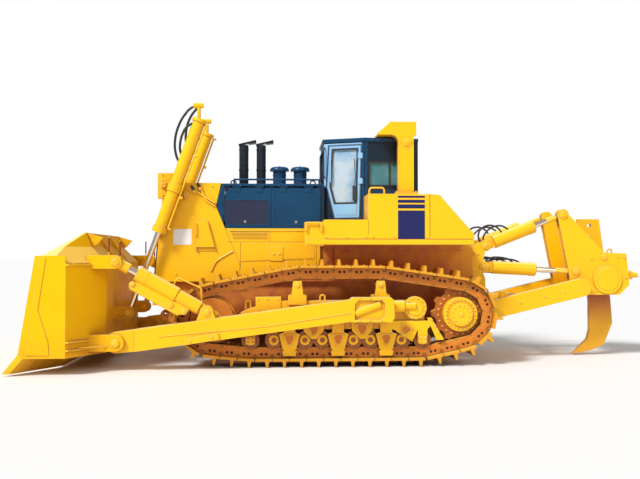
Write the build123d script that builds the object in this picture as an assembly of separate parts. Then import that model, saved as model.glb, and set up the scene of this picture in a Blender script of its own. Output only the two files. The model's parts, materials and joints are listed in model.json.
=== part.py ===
from build123d import *
import math
import os

os.makedirs("parts", exist_ok=True)

# Bulldozer with a U blade and a single-shank rear ripper.
# Millimetres. X points forward, Y to the machine's left, Z up. Ground is Z = 0.

# Driving dimensions: overall
NOSE_X = 6120
TAIL_X = -6120
FIT = 1
RUN_GAP = 12
DOOR_GAP = 6

# Driving dimensions: tracks
TRACK_Y = 1385
SHOE_WIDTH = 710
SHOE_COUNT = 40
SHOE_PLATE = 45
SHOE_GAP = 6
GROUSER_HEIGHT = 115
GROUSER_START = 55
GROUSER_FOOT = 75
GROUSER_TAPER = 20
LINK_OUT = 120
LINK_IN = 85
LINK_Y = 150
LINK_WIDTH = 75
LINK_BITE = 5
SPROCKET_X = -2010
SPROCKET_Z = 965
IDLER_X = 2640
IDLER_Z = 875
PIN_CIRCLE = 525
CARRIER_X = (1055, -505)
CARRIER_TOP_Z = 1715
CARRIER_RADIUS = 110
CARRIER_WIDTH = 300
CARRIER_BASE_HALF = 170
CARRIER_BASE_Z = (1150, 1330)
CARRIER_POST_LOW = 110
CARRIER_POST_TOP = 75
CARRIER_POST_SHEET = 45
ROLLER_X = (1925, 1490, 915, 590, 10, -310, -890, -1285)
ROLLER_RADIUS = 130
ROLLER_FLANGE = 35
ROLLER_FLANGE_WIDTH = 25
ROLLER_AXLE = 48
HANGER_HALF = 90
SPROCKET_TEETH = 11
TOOTH_HEIGHT = 70
TOOTH_FOOT = 0.32
TOOTH_TIP = 0.14
SPROCKET_WIDTH = 120
HUB_RADIUS = 320
HUB_OUT = 300
HUB_STEP = 60
HUB_CAP_RADIUS = 215
IDLER_WIDTH = 380
IDLER_RIB_WIDTH = 190
IDLER_RIB = 45
IDLER_HUB_RADIUS = 190
IDLER_AXLE = 85
FINAL_DRIVE_RADIUS = 300

# Driving dimensions: track frames
FRAME_HALF = 200
FRAME_OUTLINE = [(-1330, 700), (-1330, 1130), (-1180, 1220), (1500, 1220), (2000, 1060), (2110, 1000),
                 (2110, 740), (1950, 690)]
FORK_DEPTH = 150
FORK_PLATE = 45
GUARD_PLATE = 40
HANGER_Z = (720, 820)
HANGER_NECK = 150
HANGER_SHOULDER = 150
BOGIE_NECK = 110
BOGIE_COVER = [(110, 145), (195, 115), (125, -165), (95, -183), (137, -200), (115, -290)]
TIE_NECK = 200
TIE_COVER = [(185, 170), (45, 25)]
REAR_COVER = [(-620, 850), (-1440, 850), (-1440, 760), (-1384, 700), (-1190, 680), (-1090, 460), (-755, 680),
              (-620, 730)]
REAR_COVER_WEB = (-1300, -700)
REAR_GUARD = [(-1370, 905), (-1450, 905), (-1690, 490), (-1550, 490)]
RECOIL_BOX_X = (1360, 1830)
RECOIL_BOX_Z = (1000, 1300)
RECOIL_BOX_OUT = 15
PIVOT_CAP_X = -1145
PIVOT_CAP_Z = 1092
PIVOT_CAP_RADIUS = 213
PIVOT_CAP_OUT = 300
PIVOT_BAR_RADIUS = 110
PIVOT_BOSS_X = (-930, -744)
PIVOT_BOSS_RISE = 30
PIVOT_BOSS_RADIUS = 110
PIVOT_STEM_RADIUS = 65

# Driving dimensions: hull
HULL_FRONT = 3560
HULL_REAR = -2450
HULL_HALF = 620
HULL_LOW = 660
HULL_TOP = 1560
HULL_NOSE_RISE = 320
GEARBOX_FRONT = 300
GEARBOX_HALF = 760
DECK_LOW = 2250
DECK_TOP = 2600
LEDGE_HALF = 716
LEDGE_HEIGHT = 80
ENGINE_REAR = 610
ENGINE_FRONT = 2080
ENGINE_HALF = 440
ENGINE_TOP = 3150

# Driving dimensions: radiator guard and hood
GUARD_HALF = 760
GUARD_LOW = 1100
GUARD_FRONT_LOW = (3860, 1000)
GUARD_FRONT_TOP = (3645, 3490)
GUARD_REAR_TOP = (2530, 3490)
GUARD_REAR_MID = (2630, 3040)
GUARD_REAR_LOW = (2160, 1890)
GRILLE_HALF = 600
GRILLE_LOW = 1720
GRILLE_TOP = 3330
GRILLE_RECESS = 315
GRILLE_X = GUARD_FRONT_TOP[0] - GRILLE_RECESS
CORE_THICKNESS = 160
GRILLE_BARS = 9
GRILLE_BAR_HEIGHT = 60
GRILLE_BAR_DEPTH = 110
POCKET = [(3014, 2744), (2790, 2744), (2626, 2158), (3014, 2158)]
POCKET_OUT = 60
POCKET_WALL = 14
POCKET_SLOT = 75
HOOD_TOP = 3480
HOOD_SHEET = 45
HOOD_REAR = 580
COWL_HALF = 700
HOOD_SPLIT = 1546
POST_WIDTH = 60
POST_DEPTH = 70
SIDE_DOOR_SHEET = 40
SIDE_DOOR_LOW = 2606
SIDE_DOOR_TOP = 3396
SIDE_DOOR_CHAMFER = 110
SIDE_HINGE_AT = 230
STACK_X = (2116, 1760)
STACK_RADIUS = 95
STACK_TOP = 4330
STACK_WALL = 12
STACK_BORE = 300
FLAP_FRONT = 105
FLAP_BACK = 250
FLAP_RISE = 85
FLAP_SHEET = 28
FLAP_BITE = 8
CLEANER_X = (1384, 960)
CLEANER_NECK = 134
CLEANER_CAP = 197
CLEANER_LIP_Z = 3797
CLEANER_TOP_Z = 3886
CLEANER_DOME = 70
RAIL_Y = 640
RAIL_RADIUS = 18
RAIL_X = (2280, 1440, 600)
RAIL_Z = 3572

# Driving dimensions: door hinges
HINGE_OUT = 16
HINGE_PIN = 6
HINGE_BORE = 7
HINGE_KNUCKLE = 12
HINGE_LENGTH = 110
HINGE_GAP = 6
HINGE_EAR = 26
HINGE_STRAP = 75

# Driving dimensions: cab
CAB_FRONT_X = 500
CAB_FRONT_HALF = 600
CAB_MID_X = -280
CAB_MID_HALF = 920
CAB_REAR_X = -1350
CAB_REAR_HALF = 800
CAB_WALL = 70
CAB_FLOOR = 60
CAB_ROOF_Z = 4380
CAB_ROOF = 90
CAB_DOOR_OUTLINE = [(100, 4250), (50, 3430), (215, 2800), (740, 2800), (780, 4250)]
CAB_DOOR_FRAME = 80
CAB_HINGE_U = 795
CAB_HINGE_Z = (3530, 4030)
CAB_HINGE_STRAP = 90
CAB_EAR_REACH = 44
GLASS = 10
FRONT_WINDOW = [(90, 3250), (1110, 3250), (1110, 4200), (90, 4200)]
SIDE_WINDOW = [(90, 3440), (900, 3440), (900, 3900), (90, 3900)]
REAR_WINDOW = [(180, 3330), (1420, 3330), (1420, 4150), (180, 4150)]
SEAT_X = (-980, -380)
SEAT_HALF = 300
SEAT_Z = 3080
SEAT_CUSHION = 140
SEAT_BACK_TOP = 3800
SEAT_BACK = 150
SEAT_POST = 220

# Driving dimensions: roll-over frame
ROPS_IN = 985
ROPS_OUT = 1185
ROPS_POST_X = (-1205, -906)
ROPS_BEAM_LOW = 4405
ROPS_TOP = 4655
ROPS_BEAM_X = (-1254, -756)
ROPS_VISOR_X = -517
ROPS_VISOR_LIP = 40
ROPS_FOOT = 60
ROPS_FOOT_HEIGHT = 75

# Driving dimensions: fenders and rear tank
FENDER_IN = 950
FENDER_OUT = 1740
BOX_FRONT = -259
BOX_TOP = 3216
LOW_BOX_FRONT = 566
LOW_BOX_TOP = 2732
STEP_FRONT = 918
STEP_TOP = 2688
STEP_IN = 1165
FENDER_LOW = 2270
TANK_FRONT = -1412
TANK_REAR = -2250
TANK_SLANT_TOP = (-1596, 3200)
TANK_SLANT_LOW = 2460

# Driving dimensions: push arms
ARM_CLEAR = 90
ARM_WIDTH = 300
ARM_Y = TRACK_Y + SHOE_WIDTH / 2 + ARM_CLEAR + ARM_WIDTH / 2
TRUNNION_X = -225
TRUNNION_Z = 1055
TRUNNION_RADIUS = 150
TRUNNION_WALL = 70
ARM_HOUSING = [(-640, 860), (-690, 930), (-690, 1250), (-630, 1306), (60, 1306), (110, 1270), (110, 860)]
ARM_REAR_X = 60
ARM_REAR_TOP = 1271
ARM_REAR_LOW = 877
ARM_FRONT_X = 3960
ARM_FRONT_TOP = 746
ARM_FRONT_LOW = 354
BLADE_SET = 1130
BLADE_X = NOSE_X - BLADE_SET
BLADE_PIN_SET = 690
BLADE_PIN_X = BLADE_X - BLADE_PIN_SET
BLADE_PIN_Z = 512
BLADE_PIN_RADIUS = 80
ARM_EYE_RADIUS = 190
ARM_EYE_WIDTH = 190
ARM_RECESS = [(30, 905), (30, 1195), (-40, 1258), (-460, 1258), (-520, 1200), (-520, 980), (-440, 905)]
ARM_RECESS_DEPTH = 55
ARM_DRUM = ((20, 1010), (-440, 1180))
ARM_DRUM_RADIUS = 75
ARM_PAD = [(3095, 469), (3095, 585), (2490, 681), (2455, 573)]
ARM_PAD_OUT = 50

# Driving dimensions: blade
BLADE_BEYOND = 650
BLADE_HALF = ARM_Y + BLADE_BEYOND
WING_IN = 380
WING_Y = ARM_Y - WING_IN
WING_TURN = 30
BLADE_TOP_Z = 2490
BLADE_LIP = 45
BLADE_FOOT_OUT = 240
BLADE_FOOT_Z = 380
BLADE_HOLLOW = 235
BLADE_DEPTH = 450
BLADE_BACK_TOP = 1930
SHOULDER_DEPTH = 160
SHOULDER_Z = 2226
BLADE_BACK_LOW = 300
WING_TIP_TOP = 2065
EDGE_TIP_Z = 40
EDGE_SHEET = 70
EDGE_SOLE = 105
END_BIT = 330
END_BIT_GAP = 14
END_PLATE = 40
END_PAD_OUT = 12
END_PAD = [(-85, 2055), (-185, 2020), (-55, 1135), (-230, 590), (-245, 357), (155, 357)]
SHELF_Z = (1890, 555, 415)
SHELF_OUT = 45
SHELF_SHEET = 30
EYE_PLATE = 60
LUG_RADIUS = 150
RIB_Y = (500, -500)
RIB_SHEET = 30
RIB_OUT = 110
CORNER_RIB = [(60, 5), (350, 90), (230, 225), (160, 264)]
CORNER_RIB_IN = 60
SPIKES = ((105, 2400), (-90, 2330))
SPIKE_RADIUS = 12
SPIKE_FOOT = 2000

# Driving dimensions: blade lift cylinders
LIFT_Y = 935
LIFT_PIVOT = (3407, 3377)
LIFT_EYE_SET = 721
LIFT_EYE = (BLADE_X - LIFT_EYE_SET, 979)
LIFT_BARREL_UP = 1415
LIFT_BARREL_DOWN = 920
LIFT_BARREL_RADIUS = 118
LIFT_COLLAR_RADIUS = 142
LIFT_COLLAR_LENGTH = 170
LIFT_GLAND_LENGTH = 120
LIFT_PIN_RADIUS = 70
LIFT_ROD_RADIUS = 56
LIFT_ROD_INSIDE = 1000
LIFT_EYE_RADIUS = 105
LIFT_EYE_WIDTH = 120
LIFT_BRACKET = 15
LIFT_BRACKET_X = (3300, 3700)
LIFT_BRACKET_Z = (3180, 3680)
YOKE_X = (3540, 3760)
YOKE_IN = 610
YOKE_BOSSES = ((3632, 3442), (3206, 3258))
YOKE_BOSS_RADIUS = 58
YOKE_BOSS_OUT = 850
LIFT_HEAD_LENGTH = 60
SWIVEL_TOP = 5027
SWIVEL_RADIUS = 52
SWIVEL_NECK = 36
SWIVEL_FRONT = 110
SWIVEL_REAR = 88
HOSE_RADIUS = 24
HOSE_EASE = 0.45
HOSE_SEAT = 0.4
LIFT_HOSES = [
    [(3020, 935, 4972), (3140, 930, 4905), (3290, 915, 4710), (3395, 900, 4450), (3425, 885, 4190),
     (3385, 872, 3970), (3290, 862, 3820)],
    [(2975, 905, 4935), (3085, 885, 4820), (3175, 870, 4640), (3212, 862, 4430), (3205, 860, 4240),
     (3170, 862, 4100)],
    [(2880, 925, 4640), (3080, 985, 4625), (3210, 990, 4525), (3295, 970, 4330), (3320, 925, 4120),
     (3270, 882, 3975)],
]

# Driving dimensions: blade pitch cylinders
PITCH_BASE = (2699, 1048)
PITCH_EYE_SET = 665
PITCH_EYE = (BLADE_X - PITCH_EYE_SET, 1952)
PITCH_BARREL_START = 150
PITCH_BARREL_STEP = 620
PITCH_BARREL_END = 1230
PITCH_BARREL_RADIUS = 125
PITCH_HEAD_RADIUS = 145
PITCH_ROD_RADIUS = 70
PITCH_ROD_INSIDE = 700
PITCH_EYE_RADIUS = 105
PITCH_EYE_WIDTH = 120
PITCH_PIN_RADIUS = 50
PITCH_LUG_RADIUS = 120
PITCH_LUG_PLATE = 40

# Driving dimensions: ripper
RIPPER_Y = 500
RIPPER_PLATE = 40
RIPPER_EYE_WIDTH = 96
RIPPER_ARM_PIVOT = (-2720, 960)
RIPPER_ARM_END = (-4660, 1430)
RIPPER_ARM_IN = 625
RIPPER_ARM_OUT = 795
RIPPER_ARM_RADIUS = 180
RIPPER_PIN_RADIUS = 60
RIPPER_TILT_BASE = (-2744, 2262)
RIPPER_TILT_EYE = (-4344, 2895)
RIPPER_LIFT_BASE = (-2700, 1845)
RIPPER_LIFT_EYE = (-4596, 1745)
RIPPER_BARREL_RADIUS = 130
RIPPER_BARREL_START = 210
RIPPER_TILT_BARREL_END = 1090
RIPPER_LIFT_BARREL_END = 1080
RIPPER_ROD_RADIUS = 52
RIPPER_EYE_RADIUS = 98
RIPPER_MOUNT_RADIUS = 115
RIPPER_MOUNT_LOW = 1000
RIPPER_MOUNT_TOP = 2250
RIPPER_MOUNT_STEP = 1600
RIPPER_WEB_TOP = 2200
RIPPER_SEAT_Z = (800, 1120)
RIPPER_SEAT_RADIUS = 160
RIPPER_TOWER_RADIUS = 112
BEAM_FRONT = -4790
BEAM_REAR = -5640
BEAM_LOW = 1275
BEAM_TOP = 2110
BEAM_KNEE = (-5180, 2130)
BEAM_TAIL = (-5700, 1480)
BEAM_HEEL = -5500
BEAM_NOSE = 160
BEAM_LIFT_NOSE = (150, 60)
BRIDGE_FRONT = 260
BRIDGE_LOW = 205
BRIDGE_TOP = 60
BEAM_DISC = (-5240, 1590)
BEAM_DISC_RADIUS = 290
BEAM_DISC_OUT = 40
CROSS_TUBE_RADIUS = 120
CROSS_TUBE_AT = 840
SHANK_HALF = 55
SHANK_TOP = (-5065, 2830)
SHANK_LOW = (-5300, 1150)
SHANK_WIDTH = 450
SHANK_HEEL = (-5560, 660)
SHANK_SOLE = (-5380, 215)
SHANK_THROAT = (-5075, 520)
SHANK_TIP = (-4725, 30)
POINT_LENGTH = 360
POINT_STEP = 60
POINT_TOP = 330
SHANK_HOLE_Z = 2694
SHANK_HOLE_RADIUS = 45
PULLER_Z = 1663
PULLER_RADIUS = 95
PULLER_TIP_RADIUS = 55
PULLER_SEAT = 50
PULLER_TIP = 120
TILT_HOSES = [
    [(-45, 85), (-58, 179), (-27, 269), (41, 335), (151, 369), (266, 349), (366, 274), (412, 195),
     (430, 118)],
    [(20, 80), (62, 185), (175, 262), (330, 298), (490, 258), (600, 120)],
]
RAISE_HOSES = [
    [(40, 80), (110, 165), (225, 205), (390, 205), (530, 182), (620, 118)],
    [(70, 60), (170, 140), (300, 172), (470, 178), (650, 174), (780, 118)],
]
RIPPER_HOSE_Y = (24, -24)
RIPPER_HOSE_RADIUS = 18

# Driving dimensions: front tow eye
TOW_EYE_Z = 860
TOW_EYE_OUT = 130
TOW_EYE_RADIUS = 45
TOW_EYE_BODY = 110
TOW_EYE_SHEET = 90

AXES = {"x": (1, 0, 0), "y": (0, 1, 0), "z": (0, 0, 1)}


# Shape helpers
def block(x0, x1, y0, y1, z0, z1):
    """Box between two corners."""
    middle = ((x0 + x1) / 2, (y0 + y1) / 2, (z0 + z1) / 2)
    return Pos(*middle) * Box(abs(x1 - x0), abs(y1 - y0), abs(z1 - z0))


def outline_face(points, axis, low):
    """Flat face with a polygon outline across one axis."""
    spots = {
        "x": [(low, u, v) for u, v in points],
        "y": [(u, low, v) for u, v in points],
        "z": [(u, v, low) for u, v in points],
    }[axis]
    return make_face(Polyline(*spots, close=True))


def prism(points, axis, low, high):
    """Solid with a polygon outline across one axis, from low to high along it."""
    return extrude(outline_face(points, axis, low), high - low, dir=AXES[axis])


def bar(start, end, radius):
    """Round bar between two points."""
    start = Vector(*start)
    way = Vector(*end) - start
    upright = (Align.CENTER, Align.CENTER, Align.MIN)
    return Plane(origin=start, z_dir=way) * Cylinder(radius, way.length, align=upright)


def drum(spot, radius, y0, y1):
    """Round bar along Y at a point given in X and Z."""
    return bar((spot[0], y0, spot[1]), (spot[0], y1, spot[1]), radius)


def flipped(shape):
    """The same shape on the other side of the machine."""
    return mirror(shape, about=Plane.XZ)


def save(name, *shapes):
    """Write one node, which may hold several solids."""
    solids = [solid for shape in shapes for solid in shape.solids()]
    export_step(Compound(solids) if len(solids) > 1 else solids[0], f"parts/{name}.step")


def save_pair(name, shape):
    """Write a left node and its mirrored right node."""
    save(f"{name}_left", shape)
    save(f"{name}_right", flipped(shape))


def along(start, end, distance):
    """Point in X and Z at a distance from start towards end."""
    length = math.dist(start, end)
    return tuple(a + (b - a) * distance / length for a, b in zip(start, end))


def beside(start, end, distance, side):
    """Point at a distance along a line in X and Z and at a distance to its left."""
    x, z = along(start, end, distance)
    length = math.dist(start, end)
    return (x - (end[1] - start[1]) * side / length, z + (end[0] - start[0]) * side / length)


def tube_on_line(start, end, near, far, radius, y):
    """Round bar on the line start to end in X and Z, between two distances."""
    a = along(start, end, near)
    b = along(start, end, far)
    return bar((a[0], y, a[1]), (b[0], y, b[1]), radius)


def both_sides(points):
    """Outline of points on one side of a middle line and the same points on the other."""
    return points + [(-u, z) for u, z in reversed(points)]


def hose(points, radius):
    """Hose along straight runs joined by arcs as large as the runs allow."""
    spots = [Vector(*point) for point in points]
    runs = [b - a for a, b in zip(spots, spots[1:])]
    rounds = []
    for before, after in zip(runs, runs[1:]):
        half_turn = math.radians(before.get_angle(after)) / 2
        rounds.append(HOSE_EASE * min(before.length, after.length) / math.tan(half_turn))
    path = FilletPolyline(*spots, radius=rounds)
    section = Plane(origin=spots[0], z_dir=runs[0]) * Circle(radius)
    tube = sweep(section, path=path)
    print(f"hose {path.length:.0f} long, least bend {min(rounds):.0f}, "
          f"fill {tube.volume / (math.pi * radius ** 2 * path.length):.3f}")
    return tube


# Tracks: a belt round sprocket, rollers, idler and carriers, cut into equal shoes
PIN_TO_SHOE = LINK_OUT + SHOE_PLATE
PIN_LOW_Z = GROUSER_HEIGHT + PIN_TO_SHOE
ROLLER_Z = PIN_LOW_Z + LINK_IN + ROLLER_RADIUS
CARRIER_Z = CARRIER_TOP_Z - LINK_IN - CARRIER_RADIUS
BELT = [
    (min(ROLLER_X), ROLLER_Z, ROLLER_RADIUS + LINK_IN),
    (max(ROLLER_X), ROLLER_Z, ROLLER_RADIUS + LINK_IN),
    (IDLER_X, IDLER_Z, PIN_CIRCLE),
    (CARRIER_X[0], CARRIER_Z, CARRIER_RADIUS + LINK_IN),
    (CARRIER_X[1], CARRIER_Z, CARRIER_RADIUS + LINK_IN),
    (SPROCKET_X, SPROCKET_Z, PIN_CIRCLE),
]


def belt_normal(first, second):
    """Outward normal of the straight run that touches two circles."""
    dx, dz = second[0] - first[0], second[1] - first[1]
    length = math.hypot(dx, dz)
    lean = (first[2] - second[2]) / length
    rest = math.sqrt(1 - lean * lean)
    ux, uz = dx / length, dz / length
    return (lean * ux + rest * uz, lean * uz - rest * ux)


def belt_pieces():
    """Arcs and straight runs of the belt, each with its length and a point rule."""
    pieces = []
    count = len(BELT)
    for i, circle in enumerate(BELT):
        after = BELT[(i + 1) % count]
        n_in = belt_normal(BELT[i - 1], circle)
        n_out = belt_normal(circle, after)
        a_in = math.atan2(n_in[1], n_in[0])
        turn = (math.atan2(n_out[1], n_out[0]) - a_in) % (2 * math.pi)
        pieces.append((turn * circle[2], "arc", circle, a_in))
        start = (circle[0] + n_out[0] * circle[2], circle[1] + n_out[1] * circle[2])
        end = (after[0] + n_out[0] * after[2], after[1] + n_out[1] * after[2])
        pieces.append((math.dist(start, end), "run", start, end))
    return pieces


def belt_pins():
    """Chain pin positions in X and Z, equally spaced along the belt."""
    pieces = belt_pieces()
    pitch = sum(piece[0] for piece in pieces) / SHOE_COUNT
    pins = []
    for k in range(SHOE_COUNT):
        rest = k * pitch
        for length, kind, a, b in pieces:
            if rest <= length:
                break
            rest -= length
        if kind == "run":
            pins.append(along(a, b, rest))
        else:
            angle = b + rest / a[2]
            pins.append((a[0] + a[2] * math.cos(angle), a[1] + a[2] * math.sin(angle)))
    return pins


def chain_ring(pins, level):
    """Closed polygon at one level outward of the pin line."""
    ring = []
    for k, pin in enumerate(pins):
        before, after = pins[k - 1], pins[(k + 1) % len(pins)]
        a = math.atan2(pin[1] - before[1], pin[0] - before[0])
        b = math.atan2(after[1] - pin[1], after[0] - pin[0])
        half = ((b - a + math.pi) % (2 * math.pi) - math.pi) / 2
        middle = a + half
        reach = level / math.cos(half)
        ring.append((pin[0] + math.sin(middle) * reach, pin[1] - math.cos(middle) * reach))
    return ring


def shoe_outline(pin, after):
    """Outline of one shoe with its grouser in X and Z."""
    pitch = math.dist(pin, after)
    low, high, tip = LINK_OUT, PIN_TO_SHOE, PIN_TO_SHOE + GROUSER_HEIGHT
    foot = GROUSER_START + GROUSER_FOOT
    local = [
        (SHOE_GAP, low), (SHOE_GAP, high), (GROUSER_START, high), (GROUSER_START + GROUSER_TAPER, tip),
        (foot - GROUSER_TAPER, tip), (foot, high), (pitch - SHOE_GAP, high), (pitch - SHOE_GAP, low),
    ]
    return [beside(pin, after, u, -v) for u, v in local]


def make_track():
    """One fixed track loop on the left side."""
    pins = belt_pins()
    inner = chain_ring(pins, -LINK_IN)
    outer = chain_ring(pins, LINK_OUT + LINK_BITE)
    loop = None
    for offset in (-LINK_Y, LINK_Y):
        low = TRACK_Y + offset - LINK_WIDTH / 2
        face = outline_face(outer, "y", low) - outline_face(inner, "y", low)
        strip = extrude(face, LINK_WIDTH, dir=AXES["y"])
        loop = strip if loop is None else loop + strip
    shoes = [
        prism(shoe_outline(pin, pins[(k + 1) % len(pins)]), "y",
              TRACK_Y - SHOE_WIDTH / 2, TRACK_Y + SHOE_WIDTH / 2)
        for k, pin in enumerate(pins)
    ]
    return loop + shoes


save_pair("track", make_track())


# Sprockets, idlers and rollers
def make_sprocket():
    """Toothed wheel with its drive hub."""
    tip = PIN_CIRCLE
    root = tip - TOOTH_HEIGHT
    step = 2 * math.pi / SPROCKET_TEETH
    rim = []
    for k in range(SPROCKET_TEETH):
        for share, radius in ((-TOOTH_FOOT, root), (-TOOTH_TIP, tip), (TOOTH_TIP, tip), (TOOTH_FOOT, root)):
            angle = (k + share) * step
            rim.append((SPROCKET_X + radius * math.cos(angle), SPROCKET_Z + radius * math.sin(angle)))
    spot = (SPROCKET_X, SPROCKET_Z)
    half = SPROCKET_WIDTH / 2
    wheel = prism(rim, "y", TRACK_Y - half, TRACK_Y + half)
    hub = drum(spot, HUB_RADIUS, TRACK_Y + half, TRACK_Y + HUB_OUT - HUB_STEP)
    cap = drum(spot, HUB_CAP_RADIUS, TRACK_Y + HUB_OUT - HUB_STEP, TRACK_Y + HUB_OUT)
    return wheel + hub + cap


def make_idler():
    """Front idler wheel with its guide rib and hub."""
    spot = (IDLER_X, IDLER_Z)
    pitch = math.dist(*belt_pins()[:2])
    tread = math.sqrt(PIN_CIRCLE ** 2 - (pitch / 2) ** 2) - LINK_IN - RUN_GAP
    wheel = drum(spot, tread, TRACK_Y - IDLER_WIDTH / 2, TRACK_Y + IDLER_WIDTH / 2)
    rib = drum(spot, tread + IDLER_RIB, TRACK_Y - IDLER_RIB_WIDTH / 2, TRACK_Y + IDLER_RIB_WIDTH / 2)
    reach = IDLER_WIDTH / 2 + RUN_GAP
    return wheel + rib + drum(spot, IDLER_AXLE, TRACK_Y - reach, TRACK_Y + reach)


def make_roller(x):
    """Track roller with a flange outside each chain strip and an axle out to its hangers."""
    spot = (x, ROLLER_Z)
    at_bend = x in (min(ROLLER_X), max(ROLLER_X))
    tread = ROLLER_RADIUS - RUN_GAP if at_bend else ROLLER_RADIUS
    roller = drum(spot, tread, TRACK_Y - ROLLER_HALF, TRACK_Y + ROLLER_HALF)
    edge = CHAIN_HALF + RUN_GAP
    for side in (-1, 1):
        a = TRACK_Y + side * edge
        roller += drum(spot, ROLLER_RADIUS + ROLLER_FLANGE, a, a + side * ROLLER_FLANGE_WIDTH)
    reach = ROLLER_HALF + RUN_GAP
    return roller + drum(spot, ROLLER_AXLE, TRACK_Y - reach, TRACK_Y + reach)


def make_carrier(x):
    """Carrier roller that holds up the top run, with an axle out to its post."""
    spot = (x, CARRIER_Z)
    wheel = drum(spot, CARRIER_RADIUS - RUN_GAP, TRACK_Y - CARRIER_WIDTH / 2, TRACK_Y + CHAIN_HALF)
    return wheel + drum(spot, CARRIER_RADIUS / 2, TRACK_Y, TRACK_Y + CHAIN_HALF + RUN_GAP)


CHAIN_HALF = LINK_Y + LINK_WIDTH / 2
ROLLER_HALF = CHAIN_HALF + RUN_GAP + ROLLER_FLANGE_WIDTH
sprocket = make_sprocket()
idler = make_idler()
rollers = [make_roller(x) for x in ROLLER_X] + [make_carrier(x) for x in CARRIER_X]
save("sprockets", sprocket, flipped(sprocket))
save("idlers", idler, flipped(idler))
save("track_rollers", *rollers, *[flipped(roller) for roller in rollers])


# Track frames with bogie plates, carrier posts, fork for the idler and blade trunnion
BOGIES = list(zip(ROLLER_X[1:-1:2], ROLLER_X[2:-1:2]))
HANGER_RAIL = ROLLER_Z - ROLLER_RADIUS / 2


def hung_plate(x, neck, outline, side):
    """Plate beside the rollers, with the web at its top that joins it to the frame."""
    near = TRACK_Y + side * (ROLLER_HALF + RUN_GAP)
    far = near + side * GUARD_PLATE
    plate = prism([(x + u, z) for u, z in outline], "y", near, far)
    return plate + block(x - neck, x + neck, TRACK_Y + side * (FRAME_HALF - FIT), far, *HANGER_Z)


def roller_hangers():
    """Plates that carry the rollers: wide ones inside, bogie covers and end plates outside."""
    plates = []
    for front, rear in BOGIES:
        x = (front + rear) / 2
        half = (front - rear) / 2 + ROLLER_AXLE
        hanger = [(HANGER_NECK, HANGER_Z[1]), (HANGER_NECK, ROLLER_Z + HANGER_SHOULDER), (half, HANGER_RAIL)]
        plates.append(hung_plate(x, HANGER_NECK, both_sides(hanger), -1))
        cover = [(BOGIE_NECK, HANGER_Z[1])] + [(u, ROLLER_Z + v) for u, v in BOGIE_COVER]
        plates.append(hung_plate(x, BOGIE_NECK, both_sides(cover), 1))
    for (_, rear), (front, _) in zip(BOGIES, BOGIES[1:]):
        tie = [(TIE_NECK, HANGER_Z[1])] + [(u, ROLLER_Z + v) for u, v in TIE_COVER]
        plates.append(hung_plate((front + rear) / 2, TIE_NECK, both_sides(tie), 1))
    for x in (min(ROLLER_X), max(ROLLER_X)):
        end = both_sides([(HANGER_HALF, HANGER_Z[1]), (HANGER_HALF, HANGER_RAIL)])
        plates += [hung_plate(x, HANGER_HALF, end, side) for side in (-1, 1)]
    return plates


def carrier_posts():
    """Posts outside the chain that carry the upper rollers."""
    near = TRACK_Y + CHAIN_HALF + RUN_GAP
    far = near + CARRIER_POST_SHEET
    posts = []
    for x in CARRIER_X:
        half = CARRIER_BASE_HALF
        post = [(CARRIER_POST_LOW, CARRIER_BASE_Z[1] - FIT), (CARRIER_POST_TOP, CARRIER_Z + CARRIER_POST_TOP)]
        posts.append(block(x - half, x + half, TRACK_Y, far, *CARRIER_BASE_Z)
                     + prism([(x + u, z) for u, z in both_sides(post)], "y", near, far))
    return posts


def make_track_frame():
    """Beam between the runs of the track, with what is bolted to it."""
    inside, outside = TRACK_Y - FRAME_HALF, TRACK_Y + FRAME_HALF
    frame = prism(FRAME_OUTLINE, "y", inside, outside)
    fork_low = IDLER_Z - FORK_DEPTH / 2
    fork_rear = FRAME_OUTLINE[-1][0]
    for side in (-1, 1):
        a = TRACK_Y + side * (IDLER_WIDTH / 2 + RUN_GAP)
        b = a + side * FORK_PLATE
        frame += block(fork_rear, IDLER_X, a, b, fork_low, fork_low + FORK_DEPTH)
        frame += drum((IDLER_X, IDLER_Z), IDLER_HUB_RADIUS, a, b)
        frame += block(fork_rear, fork_rear + FORK_DEPTH, TRACK_Y, b, fork_low, fork_low + FORK_DEPTH)
    for piece in roller_hangers() + carrier_posts():
        frame += piece
    cover_in = TRACK_Y + ROLLER_HALF + RUN_GAP
    cover_out = cover_in + GUARD_PLATE
    frame += prism(REAR_COVER, "y", cover_in, cover_out)
    frame += prism(REAR_GUARD, "y", cover_in, cover_out)
    frame += block(*REAR_COVER_WEB, outside - FIT, cover_out, *HANGER_Z)
    frame += block(*RECOIL_BOX_X, TRACK_Y, outside + RECOIL_BOX_OUT, *RECOIL_BOX_Z)
    frame += drum((PIVOT_CAP_X, PIVOT_CAP_Z), PIVOT_CAP_RADIUS, outside - FIT, TRACK_Y + PIVOT_CAP_OUT)
    boss_y, boss_z = TRACK_Y + PIVOT_CAP_OUT, PIVOT_CAP_Z + PIVOT_BOSS_RISE
    boss_rear, boss_front = PIVOT_BOSS_X
    frame += bar((boss_rear, boss_y, boss_z), (boss_front, boss_y, boss_z), PIVOT_BOSS_RADIUS)
    frame += bar((PIVOT_CAP_X, boss_y, boss_z), (boss_front, boss_y, boss_z), PIVOT_STEM_RADIUS)
    trunnion_out = ARM_Y + ARM_WIDTH / 2 - TRUNNION_WALL - RUN_GAP
    frame += drum((TRUNNION_X, TRUNNION_Z), TRUNNION_RADIUS, outside - FIT, trunnion_out)
    return frame


save_pair("track_frame", make_track_frame())


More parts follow.
